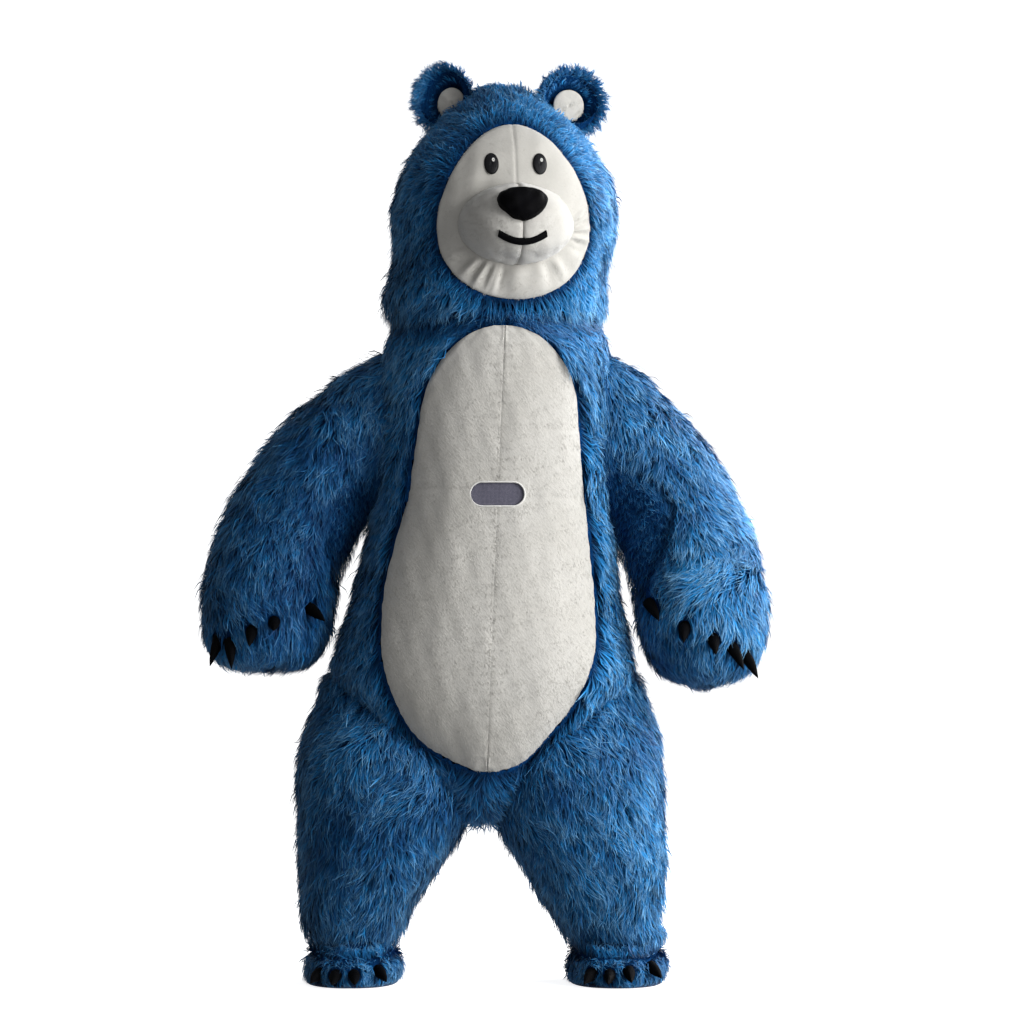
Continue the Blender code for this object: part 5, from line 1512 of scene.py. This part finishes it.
def build_face():
    columns = 256
    angle = turns(columns)
    rim = face_outline(columns)
    root = np.stack(oval(0, MUZZLE_W, MUZZLE_HALF_WIDTH, MUZZLE_HALF_HEIGHT, angle), axis=1)
    share = np.linspace(-0.03, 1.0, 22)[:, None]
    flat = root + (rim - root) * share[..., None]
    point, normal = on_face(flat[..., 0], flat[..., 1], NAP_DEPTH)
    rise = gathers(angle[None], share)
    rise = rise + 0.0045 * np.sin(math.pi * fade(share)) * (0.4 + 0.6 * fade(np.sin(angle))[None])
    rise = rise + 0.0016 * wave_field(point, 0.09, 41)
    rise = rise - 0.003 * np.exp(-(1 - share) / 0.04)
    rise = rise - 0.0025 * bell(flat[..., 0], 0.004) * (np.sin(angle)[None] > 0.3)
    outer = point + normal * rise[..., None]
    obj = patch("cloth_face", [outer, outer - normal * NAP], "face_nap", wrap=True)
    rng = np.random.default_rng(950)
    count = int(FACE_AREA * TUFTS_PER_SQUARE_METRE * 0.8)
    r, m = rng.uniform(1, 20.5, count), rng.uniform(0, columns, count)
    keep = rng.random(count) < 0.35 + 0.65 * r / 20.5
    r, m = r[keep], m[keep]
    p, n = read_grid(outer, r, m), unit(read_grid(normal, r, m))
    away = unit(p - face_space(0, MUZZLE_W, 0.3)) + np.array((0, 0, -0.8))
    size = (0.62, 0.66)
    dress(
        "face_panel", "pale_nap", obj, grow_tufts("nap_face", p, n, away, 0.0070, 951),
        flat=size, held="gathered", rests_on=["head_left", "head_right"],
        area=fair_area(mesh_area(obj) / 2 * 1.05, size),
    )


def muzzle_at(u, w):
    """A point of the muzzle's cloth at u and w of the face."""
    cu, cw = u / MUZZLE_HALF_WIDTH, (w - MUZZLE_W) / MUZZLE_HALF_HEIGHT
    share = np.clip(np.hypot(cu, cw), 1e-4, 1.0)
    rim = oval(0, MUZZLE_W, MUZZLE_HALF_WIDTH, MUZZLE_HALF_HEIGHT, np.arctan2(cw, cu))
    root = face_coordinates(on_face(*rim, NAP_DEPTH + NAP)[0])[2]
    rise = (1 - share**2.7) ** (1 / 2.1)
    return face_space(u, w, root + (MUZZLE_FRONT - root) * rise)


MUZZLE_SHARES = (
    1.0, 0.9985, 0.995, 0.99, 0.98, 0.965, 0.945, 0.92, 0.89, 0.85, 0.80, 0.74, 0.67, 0.60,
    0.52, 0.44, 0.36, 0.28, 0.20, 0.12, 0.05, 0.004,
)


def muzzle_half(side):
    angle = np.linspace(-math.pi / 2, math.pi / 2, 49)
    if side == "left":
        angle = angle + math.pi
    share = np.array(MUZZLE_SHARES)[:, None]
    u, w = oval(0, MUZZLE_W, MUZZLE_HALF_WIDTH, MUZZLE_HALF_HEIGHT, angle, share)
    point = muzzle_at(u, w)
    normal = unit(np.cross(np.gradient(point, axis=1), np.gradient(point, axis=0)))
    normal *= np.sign(np.sum(normal * (point - face_space(0, MUZZLE_W, 0.25)), axis=-1, keepdims=True))
    rise = 0.0026 * wave_field(point, 0.11, 51) + 0.0010 * wave_field(point, 0.045, 52)
    rise = rise * fade((1 - share) / 0.03)
    rise = rise - 0.0050 * bell(u, 0.0045)
    rise = rise + 0.0012 * np.sin(2 * math.pi * w / 0.020) * np.exp(-np.abs(u) / 0.018)
    for sign in (1, -1):
        dart = sign * (0.062 + 0.10 * (w - MUZZLE_W))
        rise = rise - 0.0026 * bell(u - dart, 0.005) * fade((MUZZLE_W + 0.01 - w) / 0.03)
    return point + normal * rise[..., None], normal


def build_muzzle():
    for side in EARS:
        outer, normal = muzzle_half(side)
        obj = patch(f"cloth_muzzle_{side}", [outer, outer - normal * NAP], "face_nap")
        flat, area = flat_cut(outer)
        rng = np.random.default_rng(960 + len(side))
        count = int(area * TUFTS_PER_SQUARE_METRE)
        corner = outer[:-1, :-1]
        cell = np.linalg.norm(np.cross(outer[1:, :-1] - corner, outer[:-1, 1:] - corner), axis=2)
        share = np.cumsum(cell.ravel())
        pick = np.searchsorted(share / share[-1], rng.random(count))
        i, j = np.divmod(np.minimum(pick, cell.size - 1), cell.shape[1])
        fi, fj = rng.random((2, count, 1))
        p = (outer[i, j] * (1 - fj) + outer[i, j + 1] * fj) * (1 - fi)
        p = p + (outer[i + 1, j] * (1 - fj) + outer[i + 1, j + 1] * fj) * fi
        keep = np.abs(face_coordinates(p)[0]) > 0.004
        p, n = p[keep], normal[i, j][keep]
        away = unit(p - face_space(0, MUZZLE_W + 0.06, 0.45)) + np.array((0, 0, -0.7))
        dress(
            f"muzzle_{side}", "pale_nap", obj,
            grow_tufts(f"nap_muzzle_{side}", p, n, away, 0.0065, 970 + len(side)),
            flat=flat, held="stretched", rests_on=["face_panel"], area=area,
        )


# The nose from its root out: share of its outline, distance out of the face
NOSE_PROFILE = [
    (0.86, 0.430), (0.985, 0.470), (1.0, 0.492), (0.965, 0.520), (0.86, 0.538), (0.68, 0.550),
    (0.42, 0.557), (0.18, 0.5595), (0.02, 0.560),
]
NOSE_GROOVE = 0.497


def build_nose():
    angle = turns(64)
    base_u = NOSE_HALF_WIDTH * np.cos(angle) * (1 + 0.28 * np.sin(angle))
    base_w = NOSE_HALF_HEIGHT * np.sin(angle)
    profile = smoothed(NOSE_PROFILE, 3)
    nose_w = MUZZLE_W + NOSE_HALF_HEIGHT
    grid = np.array([face_space(base_u * share, nose_w + base_w * share, d) for share, d in profile])
    out = unit(grid - face_space(0, nose_w, 0.47))
    grid = grid + out * (0.0014 * wave_field(grid, 0.045, 61))[..., None]
    grid = grid - out * 0.0022 * bell(profile[:, 1] - NOSE_GROOVE, 0.0035)[:, None, None]
    obj = patch("nose_plush", [grid], "black", wrap=True)
    fill_ends(obj)
    dress("nose", "black_plush", obj)


def build_mouth():
    t = np.linspace(-1, 1, 61)
    lower = np.stack([MOUTH_HALF_WIDTH * t, MOUTH_W + MOUTH_CURVE * t * t], axis=1)
    upper = np.stack([(MOUTH_HALF_WIDTH - 0.004) * t, MOUTH_W + MOUTH_HEIGHT + MOUTH_CURVE * t * t], axis=1)
    share = np.linspace(0, 1, 7)[:, None, None]
    flat = lower + (upper - lower) * share
    point = muzzle_at(flat[..., 0], flat[..., 1])
    crown = (0.0050 + 0.0022 * (1 - (2 * share[..., 0] - 1) ** 2)) * np.ones(len(t))
    normal = unit(np.cross(np.gradient(point, axis=1), np.gradient(point, axis=0)))
    normal *= np.sign(normal @ FACE_OUT)[..., None]
    outer = point + normal * crown[..., None]
    obj = patch("mouth_felt", [outer, point - normal * 0.0005], "black")
    size, area = flat_cut(outer)
    size = (size[0], max(size[1], 0.02))
    dress(
        "mouth", "black_plush", obj, flat=size, held="laid", rests_on=["muzzle_left", "muzzle_right"],
        area=max(area, 0.31 * size[0] * size[1]),
    )


def build_eyes():
    angle = turns(48)
    share = np.array([1.0, 0.97, 0.90, 0.75, 0.55, 0.30, 0.0006])[:, None]
    for side, eye_u in (("left", -EYE_U), ("right", EYE_U)):
        disc = oval(eye_u, EYE_W, EYE_HALF_WIDTH, EYE_HALF_HEIGHT, angle, share)
        point, normal = on_face(*disc, NAP_DEPTH - 0.0065)
        dome = 0.0042 * np.sqrt(fade(1 - share**2.2))
        outer = point + normal * dome[..., None]
        obj = patch(f"eye_satin_{side}", [outer, point - normal * 0.0012], "eye", wrap=True)
        rim = oval(eye_u, EYE_W, EYE_HALF_WIDTH + 0.0005, EYE_HALF_HEIGHT + 0.0005, angle)
        border = tube(f"eye_border_{side}", on_face(*rim, NAP_DEPTH - 0.0062)[0], 0.0016, 8, "black")
        spot = oval(eye_u + 0.006, EYE_W + 0.013, 0.0045, 0.0060, angle, share[:6])
        point, normal = on_face(*spot, NAP_DEPTH - 0.0108)
        glint = patch(f"eye_glint_{side}", [point, point - normal * 0.003], "piping", wrap=True)
        dress(
            f"eye_{side}", "black_plush", obj, border, glint,
            flat=(0.044, 0.068), held="laid", rests_on=["face_panel"], area=math.pi * 0.022 * 0.034,
        )


def build_ear_pale():
    angle = turns(48)
    share = np.array([1.0, 0.96, 0.88, 0.72, 0.50, 0.26, 0.0006])[:, None]
    count = 700
    for side, (_, _, half_width, half_height, _) in EARS.items():
        at = ear_space(side)
        u, w = oval(*EAR_DISH[side], half_width * EAR_PALE, half_height * EAR_PALE, angle, share)
        dome = 0.0050 * np.sqrt(fade(1 - share**2.5))
        rough = 0.0008 * wave_field(at(u, w, 0), 0.03, 71)
        outer = at(u, w, EAR_PROFILE[0][0] - 0.0043 - dome - rough) + SHIFT
        inner = at(u, w, EAR_PROFILE[0][0] - 0.0003) + SHIFT
        obj = patch(f"ear_pale_{side}", [outer, inner], "face_nap", wrap=True)
        rng = np.random.default_rng(980 + len(side))
        r, m = 6 * (1 - np.sqrt(rng.random(count))) + 0.2, rng.uniform(0, 48, count)
        p = read_grid(outer, np.clip(r, 0, 5.9), m)
        out = np.tile(unit(at(0, 0, -1) - at(0, 0, 0)), (count, 1))
        tufts = grow_tufts(f"nap_ear_{side}", p, out, np.tile((0, 0, -1.0), (count, 1)), 0.008, 985)
        flat = (round(2 * half_width * EAR_PALE, 3), round(2 * half_height * EAR_PALE, 3))
        dress(
            f"ear_inner_{side}", "pale_nap", obj, tufts,
            flat=flat, held="laid", rests_on=[f"ear_{side}"],
            area=math.pi / 4 * flat[0] * flat[1] * 1.02,
        )


def build_claws():
    angle = turns(16)
    wide = 0.9 * np.cos(angle) * (1 + 0.05 * np.cos(2 * angle))
    radius = (CLAW_RADII + 0.0004)[:, None, None]
    for name, line in CLAW_LINES.items():
        along = unit(np.gradient(line, axis=0))
        side = unit(np.cross(along, (0, 0, 1)))
        up = np.cross(side, along)[:, None]
        ring = wide[None, :, None] * side[:, None] + np.sin(angle)[None, :, None] * up
        grid = line[:, None] + radius * ring
        grid += 0.0006 * wave_field(grid, 0.03, 81)[..., None] * up
        obj = patch("plush_" + name, [grid], "black", wrap=True)
        fill_ends(obj)
        dress(name, "black_plush", obj)


# Zip

CUBE = np.array([(i, j, k) for i in (-1, 1) for j in (-1, 1) for k in (-1, 1)], float)
CUBE_FACES = np.array([
    (0, 1, 3), (0, 3, 2), (4, 6, 7), (4, 7, 5), (0, 4, 5), (0, 5, 1),
    (2, 3, 7), (2, 7, 6), (0, 2, 6), (0, 6, 4), (1, 5, 7), (1, 7, 3),
])
TOOTH = (0.0022, 0.0010, 0.0010)
STITCH = (0.0004, 0.0003, 0.0015)


def bars(name, x, z, depth, half, material):
    """A joined row of small blocks on the back's cloth, each turned with it."""
    torso = FORMS["torso"]
    point, normal = torso.on_side(x, z, depth, 1)
    up = unit(torso.on_side(x, z + 0.01, depth, 1)[0] - point)
    side = np.cross(normal, up)
    shrink = np.where(CUBE[:, 1:2] > 0, 0.75, 1.0)
    verts = point[:, None] + (
        (CUBE[:, 0:1] * shrink * half[0]) * side[:, None] + (CUBE[:, 1:2] * half[1]) * normal[:, None]
        + (CUBE[:, 2:3] * shrink * half[2]) * up[:, None]
    )
    faces = (np.arange(len(x)) * 8)[:, None, None] + CUBE_FACES[None]
    return plain_object(name, verts, faces.reshape(-1, 3), material, smooth=False)


def build_zip():
    heights = np.linspace(ZIP_BOTTOM, TAPE_TOP, 120)
    share = np.linspace(0.0004, TAPE_HALF_WIDTH, 7)
    z = np.repeat(heights[:, None], len(share), axis=1)
    stitches = np.arange(ZIP_BOTTOM + 0.004, TAPE_TOP - 0.004, STITCH_PITCH)
    sides = (("left", -1), ("right", 1))
    for side, sign in sides:
        point, normal = FORMS["torso"].on_side(seam_x(z) + sign * share, z, TAPE_DEPTH, 1)
        ripple = 0.0004 * np.sin(2 * math.pi * z / 0.021) * (share / TAPE_HALF_WIDTH) ** 2
        outer = point + normal * ripple[..., None]
        obj = patch(f"tape_{side}", [outer, outer - normal * 0.0016], "tape")
        at = np.tile(stitches, 2)
        off = sign * np.repeat((0.0085, 0.0125), len(stitches))
        rows = bars(f"stitches_{side}", seam_x(at) + off, at, TAPE_DEPTH - 0.0001, STITCH, "stitch")
        flat, area = flat_cut(outer)
        dress(
            f"zip_tape_{side}", "zip_tape", obj, rows, flat=(max(flat[0], 0.016), flat[1]),
            held="stretched", rests_on=[f"torso_back_{side}"], area=area,
        )
    teeth = np.arange(ZIP_BOTTOM + TOOTH_PITCH, ZIP_TOP, TOOTH_PITCH)
    for side, sign in sides:
        x = seam_x(teeth) + sign * 0.0009
        bars(f"zip_teeth_{side}", x, teeth, TAPE_DEPTH - 0.0014, TOOTH, "metal")
        teeth = teeth + TOOTH_PITCH / 2
    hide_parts("zip_coil")


# The sole from its middle out and round to its top: share of its outline, z
SOLE_PROFILE = [
    (0.02, 0.0), (0.25, 0.0), (0.5, 0.0), (0.75, 0.0), (0.93, 0.0), (0.975, 0.0006), (0.995, 0.0026),
    (1.0, 0.0052), (0.992, 0.0080), (0.97, 0.0098), (0.80, SOLE),
]


def build_soles():
    for side in EARS:
        outline = level_ring(leg_rows(FOOT, FOOT_ACROSS[side])[0], turns(96)) + SHIFT
        middle = outline.mean(axis=0)
        grid = []
        for share, z in SOLE_PROFILE:
            ring = middle + (outline - middle) * share
            ring[:, 2] = z
            grid.append(ring)
        obj = patch(f"sole_pad_{side}", [np.array(grid)], "sole", wrap=True)
        fill_ends(obj)
        size = (round(float(np.ptp(outline[:, 0])), 3), round(float(np.ptp(outline[:, 1])), 3))
        dress(
            f"sole_{side}", "sole_cloth", obj, flat=size, held="stretched", rests_on=[f"foot_{side}"],
            area=0.84 * size[0] * size[1],
        )


build_belly()
build_window()
build_face()
build_muzzle()
build_nose()
build_mouth()
build_eyes()
build_ear_pale()
build_claws()
build_zip()
build_soles()
for node in ("zip_slider", "zip_pull"):
    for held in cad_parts[node].material_slots:
        held.material = MATERIALS["metal"]


# Camera, light and floor

def add_camera():
    """The photograph's view: far off, level, with the bear where the photo has it."""
    data = bpy.data.cameras.new("camera")
    cam = bpy.data.objects.new("camera", data)
    bpy.context.scene.collection.objects.link(cam)
    data.lens = LENS
    data.sensor_width = SENSOR
    distance = PHOTO_SIZE * METRES_PER_PIXEL * LENS / SENSOR * 1.008
    x = (PHOTO_SIZE / 2 - BODY_COLUMN) * METRES_PER_PIXEL + SHIFT[0]
    z = (FLOOR_ROW - PHOTO_SIZE / 2) * METRES_PER_PIXEL - 0.010
    cam.location = (x, SHIFT[1] - distance, z)
    cam.rotation_euler = (math.radians(90), 0, 0)
    bpy.context.scene.camera = cam


def add_light(name, place, aim_z, size, power):
    data = bpy.data.lights.new(name, "AREA")
    data.shape = "RECTANGLE"
    data.size = data.size_y = size
    data.energy = power
    light = bpy.data.objects.new(name, data)
    bpy.context.scene.collection.objects.link(light)
    light.location = place
    light.rotation_euler = (Vector((0, 0, aim_z)) - Vector(place)).to_track_quat("-Z", "Y").to_euler()


# Rings of the floor and the backdrop: radius, z
STAGE = [(3, 0), (9, 0), (19, 0), (21.5, 0.3), (23.2, 1.2), (24.2, 2.6), (24.6, 5), (24.6, 20)]


def add_stage():
    """A pale floor that curves up into a backdrop all round."""
    count = 64
    angle = turns(count)
    bm = bmesh.new()
    verts = []
    for radius, z in STAGE:
        ring = np.stack([radius * np.cos(angle), radius * np.sin(angle), np.full(count, z)], axis=1)
        verts.append([bm.verts.new(p) for p in ring])
    for one, two in zip(verts, verts[1:]):
        for j in range(count):
            k = (j + 1) % count
            bm.faces.new((one[j], one[k], two[k], two[j]))
    bm.faces.new(verts[0])
    mesh = finished(bm, "studio")
    mesh.shade_smooth()
    floor = bpy.data.objects.new("studio", mesh)
    bpy.context.scene.collection.objects.link(floor)
    n = Nodes("studio_paper", 0.9, Emission_Color=(1, 1, 1))
    n.colour(n.ramp(n.noise(n.place(), 2.0), [(0.3, 0.86), (0.7, 0.88)]))
    height = n.add("SeparateXYZ", Vector=n.place()).outputs["Z"]
    n.set(n.shader, Emission_Strength=n.ramp(height, [(0.0, 0.84), (0.30, 0.86)]))
    mesh.materials.append(n.material)
    floor.visible_diffuse = False
    floor.visible_glossy = False


def add_air():
    """Soft light from all round, stronger from the viewer's right."""
    world = bpy.data.worlds.new("studio_air")
    bpy.context.scene.world = world
    world.use_nodes = True
    nodes, links = world.node_tree.nodes, world.node_tree.links
    way = nodes.new("ShaderNodeSeparateXYZ")
    links.new(nodes.new("ShaderNodeTexCoord").outputs["Generated"], way.inputs[0])
    strength = nodes.new("ShaderNodeMath")
    strength.operation = "MULTIPLY_ADD"
    links.new(way.outputs["X"], strength.inputs[0])
    strength.inputs[1].default_value = AIR_SLOPE
    strength.inputs[2].default_value = AIR
    nodes["Background"].inputs["Color"].default_value = (0.97, 0.98, 1.0, 1)
    links.new(strength.outputs[0], nodes["Background"].inputs["Strength"])


add_camera()
add_stage()
add_air()
add_light("key", (6.2, -3.4, 3.1), 1.4, 5.4, 850)
add_light("back", (4.8, 3.2, 4.0), 1.5, 2.6, 330)
bpy.context.scene.view_settings.view_transform = "Standard"
